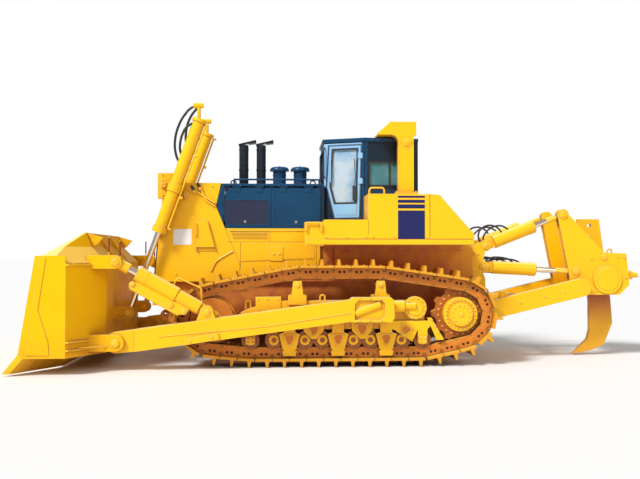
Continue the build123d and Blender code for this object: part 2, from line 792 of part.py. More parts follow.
# Hull with engine, deck and final drives
def make_hull():
    """Main frame, gear case and tow eye."""
    nose = [(HULL_REAR, HULL_LOW), (HULL_REAR, HULL_TOP), (HULL_FRONT, HULL_TOP),
            (HULL_FRONT, HULL_LOW + HULL_NOSE_RISE / 3), (HULL_FRONT - HULL_NOSE_RISE, HULL_LOW)]
    hull = prism(nose, "y", -HULL_HALF, HULL_HALF)
    hull += block(HULL_REAR, GEARBOX_FRONT, -GEARBOX_HALF, GEARBOX_HALF, HULL_TOP, DECK_LOW)
    hull += block(GEARBOX_FRONT, GUARD_REAR_LOW[0], -LEDGE_HALF, LEDGE_HALF, HULL_TOP,
                  HULL_TOP + LEDGE_HEIGHT)
    half = TOW_EYE_SHEET / 2
    spot = (HULL_FRONT + TOW_EYE_OUT, TOW_EYE_Z)
    eye = block(HULL_FRONT - FIT, spot[0], -half, half, TOW_EYE_Z - TOW_EYE_BODY, TOW_EYE_Z + TOW_EYE_BODY)
    eye += drum(spot, TOW_EYE_BODY, -half, half)
    return hull + (eye - drum(spot, TOW_EYE_RADIUS, -half, half))


drive_in = TRACK_Y - SPROCKET_WIDTH / 2
final_drive = drum((SPROCKET_X, SPROCKET_Z), FINAL_DRIVE_RADIUS, HULL_HALF, drive_in)
pivot_bar = drum((PIVOT_CAP_X, PIVOT_CAP_Z), PIVOT_BAR_RADIUS, HULL_HALF, TRACK_Y - FRAME_HALF)
save("hull", make_hull())
save("final_drives", final_drive, flipped(final_drive), pivot_bar, flipped(pivot_bar))
save("deck", block(TANK_FRONT, HOOD_REAR, -FENDER_IN, FENDER_IN, DECK_LOW, DECK_TOP))
save("engine_block", block(ENGINE_REAR, ENGINE_FRONT, -ENGINE_HALF, ENGINE_HALF,
                           HULL_TOP + LEDGE_HEIGHT, ENGINE_TOP))


# Radiator guard with the brackets of the lift cylinders
def guard_front(z):
    """X of the sloping guard face at a height."""
    return along(GUARD_FRONT_LOW, GUARD_FRONT_TOP, math.dist(GUARD_FRONT_LOW, GUARD_FRONT_TOP)
                 * (z - GUARD_FRONT_LOW[1]) / (GUARD_FRONT_TOP[1] - GUARD_FRONT_LOW[1]))[0]


def make_guard():
    """Frame round the radiator, open to the front."""
    side = [(GUARD_REAR_LOW[0], HULL_TOP), (HULL_FRONT, HULL_TOP), (HULL_FRONT, GUARD_LOW),
            (guard_front(GUARD_LOW), GUARD_LOW), GUARD_FRONT_TOP, GUARD_REAR_TOP, GUARD_REAR_MID,
            GUARD_REAR_LOW]
    guard = prism(side, "y", -GUARD_HALF, GUARD_HALF)
    guard -= block(GRILLE_X, NOSE_X, -GRILLE_HALF, GRILLE_HALF, GRILLE_LOW, GRILLE_TOP)
    for sign in (-1, 1):
        face = sign * GUARD_HALF
        plate_x, plate_z = LIFT_BRACKET_X, LIFT_BRACKET_Z
        guard += block(*plate_x, face - sign * FIT, face + sign * LIFT_BRACKET, *plate_z)
        guard += block(*YOKE_X, sign * YOKE_IN, face, plate_z[0], plate_z[1])
        for spot in YOKE_BOSSES:
            guard += drum(spot, YOKE_BOSS_RADIUS, face, sign * YOKE_BOSS_OUT)
        guard += prism(POCKET, "y", face - sign * FIT, face + sign * POCKET_OUT)
        slot_low = POCKET[-1][1]
        guard -= block(POCKET[2][0] + POCKET_WALL, POCKET[3][0] - POCKET_WALL, face + sign * POCKET_WALL,
                       face + sign * (POCKET_OUT + FIT), slot_low - FIT, slot_low + POCKET_SLOT)
        guard -= drum(LIFT_PIVOT, LIFT_PIN_RADIUS + FIT, face - sign * LIFT_PIN_RADIUS,
                      face + sign * LIFT_BRACKET)
    return guard


def make_grille():
    """Radiator core with bars in front of it."""
    core_front = GRILLE_X + CORE_THICKNESS
    grille = block(GRILLE_X, core_front, -GRILLE_HALF, GRILLE_HALF, GRILLE_LOW, GRILLE_TOP)
    step = (GRILLE_TOP - GRILLE_LOW) / GRILLE_BARS
    for k in range(GRILLE_BARS):
        z = GRILLE_LOW + (k + 0.5) * step
        grille += block(core_front - FIT, core_front + GRILLE_BAR_DEPTH, -GRILLE_HALF, GRILLE_HALF,
                        z - GRILLE_BAR_HEIGHT / 2, z + GRILLE_BAR_HEIGHT / 2)
    return grille


save("radiator_guard", make_guard())
save("radiator_grille", make_grille())


# Engine hood with doors, panels, stacks, air cleaners and rails
HOOD_FRONT = GUARD_REAR_TOP[0] - DOOR_GAP


def guard_rear(z):
    """X of the guard's sloping rear edge at a height."""
    share = (z - GUARD_REAR_LOW[1]) / (GUARD_REAR_MID[1] - GUARD_REAR_LOW[1])
    return GUARD_REAR_LOW[0] + (GUARD_REAR_MID[0] - GUARD_REAR_LOW[0]) * share


SIDE_DOOR_FRONT = guard_rear(SIDE_DOOR_LOW) - DOOR_GAP
POST_OUT = GUARD_HALF - SIDE_DOOR_SHEET - RUN_GAP
HOOD_HINGE_Y = GUARD_HALF + HINGE_OUT
HOOD_HINGE_Z = SIDE_DOOR_TOP + HINGE_OUT


def make_hood_frame():
    """Cowl in front of the cab and the posts under the hood top."""
    inner = POST_OUT
    ledge = HULL_TOP + LEDGE_HEIGHT
    feet = ((HOOD_REAR, ledge), (HOOD_SPLIT - POST_WIDTH / 2, ledge),
            (SIDE_DOOR_FRONT - POST_WIDTH, SIDE_DOOR_LOW))
    posts = [block(x, x + POST_WIDTH, sign * (inner - POST_DEPTH), sign * inner, low, HOOD_TOP - HOOD_SHEET)
             for x, low in feet for sign in (-1, 1)]
    cowl = block(CAB_FRONT_X + DOOR_GAP, HOOD_REAR - FIT, -COWL_HALF, COWL_HALF, DECK_TOP, HOOD_TOP)
    return posts + [cowl]


def make_side_door(x0, x1, nose):
    """Hinged engine door on the left side, with a cut corner at its nose."""
    outline = [(x0, SIDE_DOOR_LOW), (x1, SIDE_DOOR_LOW), (x1, SIDE_DOOR_TOP - nose),
               (x1 - nose, SIDE_DOOR_TOP), (x0, SIDE_DOOR_TOP)]
    door = prism(outline if nose else outline[:2] + [(x1, SIDE_DOOR_TOP), outline[-1]], "y",
                 GUARD_HALF - SIDE_DOOR_SHEET, GUARD_HALF)
    for x in hinge_spots(x0, x1):
        door += block(x - HINGE_LENGTH / 2, x + HINGE_LENGTH / 2, GUARD_HALF - FIT, HOOD_HINGE_Y,
                      SIDE_DOOR_TOP - HINGE_STRAP, HOOD_HINGE_Z)
        door += hood_hinge_bar(x, HINGE_LENGTH / 2, HINGE_KNUCKLE)
        door -= hood_hinge_bar(x, HINGE_LENGTH, HINGE_BORE)
    return door


def hinge_spots(x0, x1):
    """X of the two hinges of an engine door."""
    return (x0 + SIDE_HINGE_AT, x1 - SIDE_HINGE_AT)


def hood_hinge_bar(x, half, radius):
    """Round bar on the hinge line of the left engine doors."""
    return bar((x - half, HOOD_HINGE_Y, HOOD_HINGE_Z), (x + half, HOOD_HINGE_Y, HOOD_HINGE_Z), radius)


def make_hood():
    """Hood top with the ears and pins of the engine doors along both edges."""
    hood = block(HOOD_REAR, HOOD_FRONT, -GUARD_HALF, GUARD_HALF, HOOD_TOP - HOOD_SHEET, HOOD_TOP)
    ear_in = HINGE_LENGTH / 2 + HINGE_GAP
    for x in hinge_spots(*REAR_DOOR_X) + hinge_spots(*FRONT_DOOR_X):
        hinge = hood_hinge_bar(x, ear_in + HINGE_EAR, HINGE_PIN)
        for side in (-1, 1):
            a = x + side * ear_in
            hinge += block(a, a + side * HINGE_EAR, GUARD_HALF - FIT, HOOD_HINGE_Y + HINGE_KNUCKLE,
                           HOOD_HINGE_Z, HOOD_TOP - HINGE_OUT)
        hood += hinge
        hood += flipped(hinge)
    return hood


REAR_DOOR_X = (HOOD_REAR + DOOR_GAP, HOOD_SPLIT - DOOR_GAP / 2)
FRONT_DOOR_X = (HOOD_SPLIT + DOOR_GAP / 2, SIDE_DOOR_FRONT)


def make_side_panel():
    """Fixed panel under the doors on the left side."""
    low, high = HULL_TOP + LEDGE_HEIGHT + DOOR_GAP, SIDE_DOOR_LOW - DOOR_GAP
    rear, knee = HOOD_REAR + DOOR_GAP, GUARD_REAR_LOW[1]
    outline = [(rear, low), (guard_rear(knee) - DOOR_GAP, low), (guard_rear(knee) - DOOR_GAP, knee),
               (guard_rear(high) - DOOR_GAP, high), (rear, high)]
    return prism(outline, "y", POST_OUT, GUARD_HALF)


def make_stack(x):
    """Open exhaust stack with its rain flap raised to the rear."""
    pipe = bar((x, 0, HOOD_TOP), (x, 0, STACK_TOP), STACK_RADIUS)
    pipe -= bar((x, 0, STACK_TOP - STACK_BORE), (x, 0, STACK_TOP), STACK_RADIUS - STACK_WALL)
    low = STACK_TOP - FLAP_BITE
    flap = [(x + FLAP_FRONT, low), (x - FLAP_BACK, low + FLAP_RISE),
            (x - FLAP_BACK, low + FLAP_RISE + FLAP_SHEET), (x + FLAP_FRONT, low + FLAP_SHEET)]
    return pipe + prism(flap, "y", -STACK_RADIUS, STACK_RADIUS)


def make_cleaner(x):
    """Air pre-cleaner with a domed cap."""
    cap = bar((x, 0, CLEANER_LIP_Z), (x, 0, CLEANER_TOP_Z), CLEANER_CAP)
    cap = fillet(cap.edges().group_by(Axis.Z)[-1], CLEANER_DOME)
    return bar((x, 0, HOOD_TOP), (x, 0, CLEANER_LIP_Z), CLEANER_NECK) + cap


def make_rail():
    """Hand rail on the left edge of the hood."""
    rail = bar((RAIL_X[0], RAIL_Y, RAIL_Z), (RAIL_X[-1], RAIL_Y, RAIL_Z), RAIL_RADIUS)
    for x in RAIL_X:
        rail += bar((x, RAIL_Y, HOOD_TOP), (x, RAIL_Y, RAIL_Z), RAIL_RADIUS)
        rail += Pos(x, RAIL_Y, RAIL_Z) * Sphere(RAIL_RADIUS)
    return rail


side_panel = make_side_panel()
save("engine_hood", make_hood())
save("hood_frame", *make_hood_frame())
save_pair("engine_door_front", make_side_door(*FRONT_DOOR_X, SIDE_DOOR_CHAMFER))
save_pair("engine_door_rear", make_side_door(*REAR_DOOR_X, 0))
save("engine_side_panels", side_panel, flipped(side_panel))
save("exhaust_stacks", *[make_stack(x) for x in STACK_X])
save("air_cleaners", *[make_cleaner(x) for x in CLEANER_X])
rail = make_rail()
save("hood_rails", rail, flipped(rail))


# Cab: upright panels along a six-sided plan, floor, roof, doors and glass
CAB_PLAN = [(CAB_FRONT_X, -CAB_FRONT_HALF), (CAB_FRONT_X, CAB_FRONT_HALF), (CAB_MID_X, CAB_MID_HALF),
            (CAB_REAR_X, CAB_REAR_HALF), (CAB_REAR_X, -CAB_REAR_HALF), (CAB_MID_X, -CAB_MID_HALF)]


def wall_plane(p0, p1):
    """Plane on a wall's outer face, with its normal outward and its Y axis up."""
    way = Vector(p1[0] - p0[0], p1[1] - p0[1], 0).normalized()
    return Plane(origin=(p0[0], p0[1], 0), x_dir=way, z_dir=(way.Y, -way.X, 0))


def sheet(p0, p1, face, depth, start=0):
    """Sheet behind a wall's outer face, from one depth to another."""
    return wall_plane(p0, p1) * (Pos(0, 0, -start) * extrude(face, -(depth - start)))


def flat(points):
    """Polygon in wall coordinates: distance along the wall and height."""
    return make_face(Polyline(*points, close=True))


def wall_outline(p0, p1):
    """Full face of one wall."""
    length = math.dist(p0, p1)
    low, high = DECK_TOP, CAB_ROOF_Z - CAB_ROOF
    return flat([(0, low), (length, low), (length, high), (0, high)])


front_wall = CAB_PLAN[0:2]
door_wall = CAB_PLAN[1:3]
side_wall = CAB_PLAN[2:4]
rear_wall = CAB_PLAN[3:5]
door_face = flat(CAB_DOOR_OUTLINE)
door_opening = offset(door_face, DOOR_GAP, kind=Kind.INTERSECTION)
door_window = offset(door_face, -CAB_DOOR_FRAME, kind=Kind.INTERSECTION)


def make_cab():
    """Cab shell: walls with their windows and door openings cut, floor and roof."""
    rim = prism(CAB_PLAN, "z", DECK_TOP, CAB_ROOF_Z)
    walls = sheet(*front_wall, wall_outline(*front_wall) - flat(FRONT_WINDOW), CAB_WALL)
    walls += sheet(*rear_wall, wall_outline(*rear_wall) - flat(REAR_WINDOW), CAB_WALL)
    for wall, hole in ((door_wall, door_opening), (side_wall, flat(SIDE_WINDOW))):
        panel = sheet(*wall, wall_outline(*wall) - hole, CAB_WALL)
        walls += panel
        walls += flipped(panel)
    floor = prism(CAB_PLAN, "z", DECK_TOP, DECK_TOP + CAB_FLOOR)
    roof = prism(CAB_PLAN, "z", CAB_ROOF_Z - CAB_ROOF, CAB_ROOF_Z)
    shell = (walls + floor + roof) & rim
    keep_out = sheet(*door_wall, door_opening, CAB_WALL + CAB_WALL)
    shell = shell - keep_out - flipped(keep_out)
    ear_in = HINGE_LENGTH / 2 + HINGE_GAP
    for z in CAB_HINGE_Z:
        hinge = cab_hinge_bar(z, ear_in + HINGE_EAR, HINGE_PIN)
        for side in (-1, 1):
            a = z + side * ear_in
            hinge += cab_hinge_leaf(CAB_HINGE_U, CAB_HINGE_U + CAB_EAR_REACH, HINGE_OUT + HINGE_KNUCKLE,
                                    min(a, a + side * HINGE_EAR), max(a, a + side * HINGE_EAR))
        shell += hinge
        shell += flipped(hinge)
    return shell


def cab_hinge_bar(z, half, radius):
    """Upright bar on the hinge line of the left cab door."""
    line = bar((CAB_HINGE_U, z - half, HINGE_OUT), (CAB_HINGE_U, z + half, HINGE_OUT), radius)
    return wall_plane(*door_wall) * line


def cab_hinge_leaf(u0, u1, out, z0, z1):
    """Block on the outer face of the left door wall."""
    return wall_plane(*door_wall) * block(u0, u1, z0, z1, -FIT, out)


def make_cab_door():
    """Left cab door with its window cut and its hinge knuckles."""
    door = sheet(*door_wall, door_face - door_window, CAB_WALL)
    for z in CAB_HINGE_Z:
        low, high = z - HINGE_LENGTH / 2, z + HINGE_LENGTH / 2
        door += cab_hinge_leaf(CAB_HINGE_U - CAB_HINGE_STRAP, CAB_HINGE_U, HINGE_OUT, low, high)
        door += cab_hinge_bar(z, HINGE_LENGTH / 2, HINGE_KNUCKLE)
        door -= cab_hinge_bar(z, HINGE_LENGTH, HINGE_BORE)
    return door - sheet(*door_wall, wall_outline(*door_wall) - door_face, FIT, -HINGE_GAP)


def make_glass():
    """Fixed panes in the middle of the walls."""
    start = (CAB_WALL - GLASS) / 2
    panes = [sheet(*front_wall, flat(FRONT_WINDOW), start + GLASS, start),
             sheet(*rear_wall, flat(REAR_WINDOW), start + GLASS, start)]
    side = sheet(*side_wall, flat(SIDE_WINDOW), start + GLASS, start)
    return panes + [side, flipped(side)]


def make_seat():
    """Operator's seat."""
    x0, x1 = SEAT_X
    middle = (x0 + x1) / 2
    base = DECK_TOP + CAB_FLOOR
    seat = block(x0, x1, -SEAT_HALF, SEAT_HALF, SEAT_Z - SEAT_CUSHION, SEAT_Z)
    seat += block(x0, x0 + SEAT_BACK, -SEAT_HALF, SEAT_HALF, SEAT_Z - FIT, SEAT_BACK_TOP)
    seat += block(middle - SEAT_POST, middle + SEAT_POST, -SEAT_POST, SEAT_POST, base,
                  SEAT_Z - SEAT_CUSHION + FIT)
    return seat


door_glass_start = (CAB_WALL - GLASS) / 2
save("cab_shell", make_cab())
save("cab_glass", *make_glass())
save("operator_seat", make_seat())
save_pair("cab_door", make_cab_door())
save_pair("cab_door_glass", sheet(*door_wall, door_window, door_glass_start + GLASS, door_glass_start))


# Roll-over frame
def rops_flare(x, way, radius):
    """Hollow-curved corner between the left post's face at x and the beam."""
    edge = x + way * radius
    low = ROPS_BEAM_LOW - radius
    corner = block(x - way * FIT, edge, ROPS_IN, ROPS_OUT, low, ROPS_BEAM_LOW + FIT)
    return corner - drum((edge, low), radius, ROPS_IN, ROPS_OUT)


def make_rops():
    """Beam with its visor lip, and two posts on their feet."""
    outline = [(ROPS_BEAM_X[0], ROPS_BEAM_LOW), (ROPS_BEAM_X[0], ROPS_TOP), (ROPS_BEAM_X[1], ROPS_TOP),
               (ROPS_VISOR_X, ROPS_BEAM_LOW + ROPS_VISOR_LIP), (ROPS_VISOR_X, ROPS_BEAM_LOW)]
    rear, front = ROPS_POST_X
    post = block(rear, front, ROPS_IN, ROPS_OUT, BOX_TOP, ROPS_BEAM_LOW + FIT)
    post += block(rear - ROPS_FOOT, front + ROPS_FOOT, ROPS_IN, ROPS_OUT + ROPS_FOOT, BOX_TOP,
                  BOX_TOP + ROPS_FOOT_HEIGHT)
    post += rops_flare(front, 1, ROPS_BEAM_X[1] - front)
    post += rops_flare(rear, -1, rear - ROPS_BEAM_X[0])
    return prism(outline, "y", -ROPS_OUT, ROPS_OUT) + post + flipped(post)


save("rops_frame", make_rops())


# Fenders and rear tank
fender_outline = [(LOW_BOX_FRONT, FENDER_LOW), (LOW_BOX_FRONT, LOW_BOX_TOP), (BOX_FRONT, LOW_BOX_TOP),
                  (BOX_FRONT, BOX_TOP), (TANK_FRONT, BOX_TOP), (TANK_FRONT, FENDER_LOW)]
tank_outline = [(TANK_FRONT, FENDER_LOW), (TANK_FRONT, BOX_TOP), TANK_SLANT_TOP, (TANK_REAR, TANK_SLANT_LOW),
                (TANK_REAR, FENDER_LOW)]
fender = prism(fender_outline, "y", FENDER_IN, FENDER_OUT)
fender += block(LOW_BOX_FRONT - FIT, STEP_FRONT, STEP_IN, FENDER_OUT, DECK_LOW, STEP_TOP)
save_pair("fender", fender)
save("rear_tank", prism(tank_outline, "y", -FENDER_OUT, FENDER_OUT))


# Push arms on the trunnions of the track frames
def make_arm():
    """Left push arm from its trunnion housing to the blade pin."""
    inside, outside = ARM_Y - ARM_WIDTH / 2, ARM_Y + ARM_WIDTH / 2
    arm = prism(ARM_HOUSING, "y", inside, outside)
    beam = [(ARM_REAR_X, ARM_REAR_LOW), (ARM_REAR_X, ARM_REAR_TOP), (ARM_FRONT_X, ARM_FRONT_TOP),
            (ARM_FRONT_X, ARM_FRONT_LOW)]
    arm += prism(beam, "y", inside, outside)
    pin = (BLADE_PIN_X, BLADE_PIN_Z)
    half = ARM_EYE_WIDTH / 2
    neck = [(ARM_FRONT_X - FIT, ARM_FRONT_LOW), (ARM_FRONT_X - FIT, ARM_FRONT_TOP),
            (BLADE_PIN_X, BLADE_PIN_Z + ARM_EYE_RADIUS), (BLADE_PIN_X, BLADE_PIN_Z - ARM_EYE_RADIUS)]
    arm += prism(neck, "y", ARM_Y - half, ARM_Y + half)
    arm += drum(pin, ARM_EYE_RADIUS, ARM_Y - half, ARM_Y + half)
    arm -= drum(pin, BLADE_PIN_RADIUS + FIT, ARM_Y - half, ARM_Y + half)
    lug_low = ARM_FRONT_TOP
    for side in (-1, 1):
        a = ARM_Y + side * (PITCH_EYE_WIDTH / 2 + RUN_GAP)
        b = a + side * PITCH_LUG_PLATE
        lug = both_sides([(2 * PITCH_LUG_RADIUS, lug_low), (PITCH_LUG_RADIUS, PITCH_BASE[1])])
        arm += prism([(PITCH_BASE[0] + u, z) for u, z in lug], "y", a, b)
        arm += drum(PITCH_BASE, PITCH_LUG_RADIUS, a, b)
    pin_reach = PITCH_EYE_WIDTH / 2 + RUN_GAP + FIT
    arm += drum(PITCH_BASE, PITCH_PIN_RADIUS, ARM_Y - pin_reach, ARM_Y + pin_reach)
    drum_y = outside - ARM_DRUM_RADIUS
    (front_x, front_z), (rear_x, rear_z) = ARM_DRUM
    arm -= prism(ARM_RECESS, "y", outside - ARM_RECESS_DEPTH, outside)
    arm += bar((front_x, drum_y, front_z), (rear_x, drum_y, rear_z), ARM_DRUM_RADIUS)
    arm += prism(ARM_PAD, "y", outside - FIT, outside + ARM_PAD_OUT)
    socket_out = outside - TRUNNION_WALL
    return arm - drum((TRUNNION_X, TRUNNION_Z), TRUNNION_RADIUS + FIT, inside, socket_out)


save_pair("push_arm", make_arm())


# Blade: one profile used straight in the middle and turned forward at each wing
BLADE_TOP = (BLADE_X, BLADE_TOP_Z)
BLADE_FOOT = (BLADE_X + BLADE_FOOT_OUT, BLADE_FOOT_Z)
BLADE_SHOULDER = (BLADE_X - SHOULDER_DEPTH, SHOULDER_Z)
BLADE_BACK_X = BLADE_X - BLADE_DEPTH
WING_END = BLADE_HALF - END_PAD_OUT
WING_REACH = (WING_END - WING_Y) * math.tan(math.radians(WING_TURN))


def make_profile():
    """Section of the mouldboard box in X and Z."""
    top, foot = BLADE_TOP, BLADE_FOOT
    middle = beside(top, foot, math.dist(top, foot) / 2, -BLADE_HOLLOW)
    front = ThreePointArc((top[0], 0, top[1]), (middle[0], 0, middle[1]), (foot[0], 0, foot[1]))
    back = Polyline((foot[0], 0, foot[1]), (foot[0] - EDGE_SHEET, 0, BLADE_BACK_LOW),
                    (BLADE_BACK_X, 0, BLADE_BACK_LOW), (BLADE_BACK_X, 0, BLADE_BACK_TOP),
                    (BLADE_SHOULDER[0], 0, BLADE_SHOULDER[1]), (top[0] - BLADE_LIP, 0, top[1]),
                    (top[0], 0, top[1]))
    return make_face(front + back)


def make_edge_face():
    """Section of the cutting edge in X and Z, reaching the nose at the tip of each wing."""
    turn = math.radians(WING_TURN)
    tip = (BLADE_X + (NOSE_X - BLADE_X - WING_REACH) * math.cos(turn), EDGE_TIP_Z)
    heel = (BLADE_FOOT[0] - EDGE_SHEET, BLADE_BACK_LOW)
    under = (tip[0] - EDGE_SOLE, EDGE_TIP_Z)
    return outline_face([BLADE_FOOT, tip, under, heel], "y", 0)


def swept(face, y0, y1):
    """Section extruded between two stations along Y."""
    return Pos(0, y0, 0) * extrude(face, y1 - y0, dir=AXES["y"])


def turned(shape):
    """The shape turned forward by the wing angle about the left corner line."""
    corner = (BLADE_X, WING_Y, 0)
    return Pos(*corner) * Rot(0, 0, -WING_TURN) * Pos(-corner[0], -corner[1], 0) * shape


def corner_side(outer):
    """Half space on one side of the mitre plane at the left corner line."""
    reach = 2 * NOSE_X
    slab = block(-reach, reach, 0, reach if outer else -reach, -reach, reach)
    return Pos(BLADE_X, WING_Y, 0) * Rot(0, 0, -WING_TURN / 2) * slab


def wing_of(face):
    """Left wing made from a section: turned, mitred and cut at the blade's end."""
    wing = turned(swept(face, 0, 2 * BLADE_HALF)) & corner_side(True)
    return wing & block(0, 2 * NOSE_X, 0, WING_END, -NOSE_X, NOSE_X)


def tip_x(x):
    """X at the wing's end of a line that has this X in the section."""
    return BLADE_X + WING_REACH + (x - BLADE_X) / math.cos(math.radians(WING_TURN))


def make_end_plate():
    """Plate that closes the left wing's end, with a raised pad on it."""
    outline = [(tip_x(BLADE_X), WING_TIP_TOP), (tip_x(BLADE_FOOT[0]), BLADE_FOOT[1]),
               (tip_x(BLADE_FOOT[0] - EDGE_SHEET), BLADE_BACK_LOW), (tip_x(BLADE_BACK_X), BLADE_BACK_LOW),
               (tip_x(BLADE_BACK_X), WING_TIP_TOP)]
    pad = [(tip_x(BLADE_X) + u, z) for u, z in END_PAD]
    return prism(outline, "y", WING_END - END_PLATE, WING_END) + prism(pad, "y", WING_END - FIT, BLADE_HALF)


def centre_of(face):
    """Middle made from a section and mitred at both corner lines."""
    middle = swept(face, -BLADE_HALF, BLADE_HALF)
    side = corner_side(False)
    return middle & side & flipped(side)


def lug_pair(spot, y, gap, radius, reach, bore):
    """Two lug plates from a pin position forward to the blade's back."""
    lugs = None
    for side in (-1, 1):
        a = y + side * gap
        b = a + side * EYE_PLATE
        plate = drum(spot, radius, a, b)
        plate += prism([(spot[0], spot[1] - radius), (reach, spot[1] - radius), (reach, spot[1] + radius),
                        (spot[0], spot[1] + radius)], "y", a, b)
        lugs = plate if lugs is None else lugs + plate
    return lugs - drum(spot, bore, y - gap - EYE_PLATE, y + gap + EYE_PLATE) if bore else lugs


def make_wing():
    """Left wing with the lugs of its push arm and pitch cylinder."""
    wing = wing_of(make_profile())
    drop = (BLADE_TOP[1] - WING_TIP_TOP) / (WING_END - WING_Y)
    reach = 2 * BLADE_HALF
    slope = [(0, BLADE_TOP[1] + drop * WING_Y), (0, 2 * reach), (reach, 2 * reach),
             (reach, BLADE_TOP[1] + drop * (WING_Y - reach))]
    wing -= prism(slope, "x", 0, 2 * NOSE_X)
    for z in SHELF_Z:
        rear, front = BLADE_BACK_X - SHELF_OUT, BLADE_BACK_X + FIT
        shelf = [(rear, z), (front, z), (front, z + SHELF_SHEET), (rear, z + SHELF_SHEET)]
        wing += wing_of(outline_face(shelf, "y", 0))
    wing += make_end_plate() - wing_of(make_edge_face())
    inner = BLADE_BACK_X + 2 * EYE_PLATE
    arm_gap = ARM_EYE_WIDTH / 2 + RUN_GAP
    pin = (BLADE_PIN_X, BLADE_PIN_Z)
    arm_lugs = lug_pair(pin, ARM_Y, arm_gap, LUG_RADIUS, inner + LUG_RADIUS, 0)
    arm_pin = drum(pin, BLADE_PIN_RADIUS, ARM_Y - arm_gap - EYE_PLATE, ARM_Y + arm_gap + EYE_PLATE)
    pitch_gap = PITCH_EYE_WIDTH / 2 + RUN_GAP
    pitch_lugs = lug_pair(PITCH_EYE, ARM_Y, pitch_gap, PITCH_LUG_RADIUS, inner + LUG_RADIUS, 0)
    spike_y = ARM_Y + pitch_gap + EYE_PLATE / 2
    for u, top in SPIKES:
        x = PITCH_EYE[0] + u
        wing += bar((x, spike_y, SPIKE_FOOT), (x, spike_y, top), SPIKE_RADIUS)
    return wing + arm_lugs + arm_pin + pitch_lugs


def make_centre():
    """Blade middle with lift lugs and the ribs behind its top."""
    middle = centre_of(make_profile())
    gap = LIFT_EYE_WIDTH / 2 + RUN_GAP
    for sign in (-1, 1):
        middle += lug_pair(LIFT_EYE, sign * LIFT_Y, gap, PITCH_LUG_RADIUS, BLADE_BACK_X + EYE_PLATE, 0)
    low = (BLADE_BACK_X, BLADE_BACK_TOP)
    rib = [low, (BLADE_SHOULDER[0] - RIB_OUT, BLADE_SHOULDER[1]), (BLADE_TOP[0] - BLADE_LIP, BLADE_TOP[1]),
           (BLADE_TOP[0] - FIT, BLADE_TOP[1] - FIT), BLADE_SHOULDER]
    for y in RIB_Y:
        middle += prism(rib, "y", y - RIB_SHEET / 2, y + RIB_SHEET / 2)
    corner_rib = [(BLADE_X - u, BLADE_TOP[1] - v) for u, v in CORNER_RIB]
    for sign in (-1, 1):
        y = sign * (WING_Y - CORNER_RIB_IN)
        middle += prism(corner_rib, "y", y - RIB_SHEET / 2, y + RIB_SHEET / 2)
    return middle


edge_face = make_edge_face()
wing_edge = wing_of(edge_face)
bit_start = WING_END - END_BIT
end_bit = wing_edge & block(0, 2 * NOSE_X, bit_start, BLADE_HALF, -NOSE_X, NOSE_X)
wing_edge &= block(0, 2 * NOSE_X, 0, bit_start - END_BIT_GAP, -NOSE_X, NOSE_X)
save("blade_centre", make_centre())
save_pair("blade_wing", make_wing())
save("cutting_edges", centre_of(edge_face), wing_edge, flipped(wing_edge), end_bit, flipped(end_bit))


# Blade lift cylinders
def lift_barrel_form(grow):
    """Outer form of the left lift barrel with its collars and hose swivel, grown by a distance."""
    p, q = LIFT_PIVOT, LIFT_EYE
    form = tube_on_line(p, q, -LIFT_BARREL_UP - grow, LIFT_BARREL_DOWN + grow,
                        LIFT_BARREL_RADIUS + grow, LIFT_Y)
    half = LIFT_COLLAR_LENGTH / 2
    head = LIFT_HEAD_LENGTH - LIFT_BARREL_UP
    gland = LIFT_BARREL_DOWN - LIFT_GLAND_LENGTH
    for near, far in ((-LIFT_BARREL_UP, head), (-half, half), (gland, LIFT_BARREL_DOWN)):
        form += tube_on_line(p, q, near - grow, far + grow, LIFT_COLLAR_RADIUS + grow, LIFT_Y)
    top_x, top_z = along(p, q, head)
    z = SWIVEL_TOP - SWIVEL_RADIUS
    form += bar((top_x, LIFT_Y, top_z), (top_x, LIFT_Y, z), SWIVEL_NECK + grow)
    return form + bar((top_x - SWIVEL_REAR - grow, LIFT_Y, z), (top_x + SWIVEL_FRONT + grow, LIFT_Y, z),
                      SWIVEL_RADIUS + grow)


def make_lift_barrel():
    """Left lift barrel with its trunnion pin, bored for its rod."""
    p, q = LIFT_PIVOT, LIFT_EYE
    barrel = lift_barrel_form(0) + drum(p, LIFT_PIN_RADIUS, GUARD_HALF - LIFT_PIN_RADIUS + FIT, LIFT_Y)
    bore_top = LIFT_BARREL_RADIUS - LIFT_BARREL_UP
    return barrel - tube_on_line(p, q, bore_top, LIFT_BARREL_DOWN, LIFT_ROD_RADIUS + FIT, LIFT_Y)


def make_lift_rod():
    """Left lift rod with its eye."""
    p, q = LIFT_PIVOT, LIFT_EYE
    reach = math.dist(p, q)
    rod = tube_on_line(p, q, LIFT_BARREL_DOWN - LIFT_ROD_INSIDE, reach, LIFT_ROD_RADIUS, LIFT_Y)
    return rod + drum(q, LIFT_EYE_RADIUS, LIFT_Y - LIFT_EYE_WIDTH / 2, LIFT_Y + LIFT_EYE_WIDTH / 2)


lift_barrel = make_lift_barrel()
lift_rod = make_lift_rod()
lift_seat = lift_barrel_form(HOSE_SEAT)
lift_hoses = [hose(points, HOSE_RADIUS) - lift_seat for points in LIFT_HOSES]
save("lift_barrels", lift_barrel, flipped(lift_barrel))
save("lift_hoses", *lift_hoses, *[flipped(tube) for tube in lift_hoses])
save("lift_rods", lift_rod, flipped(lift_rod))


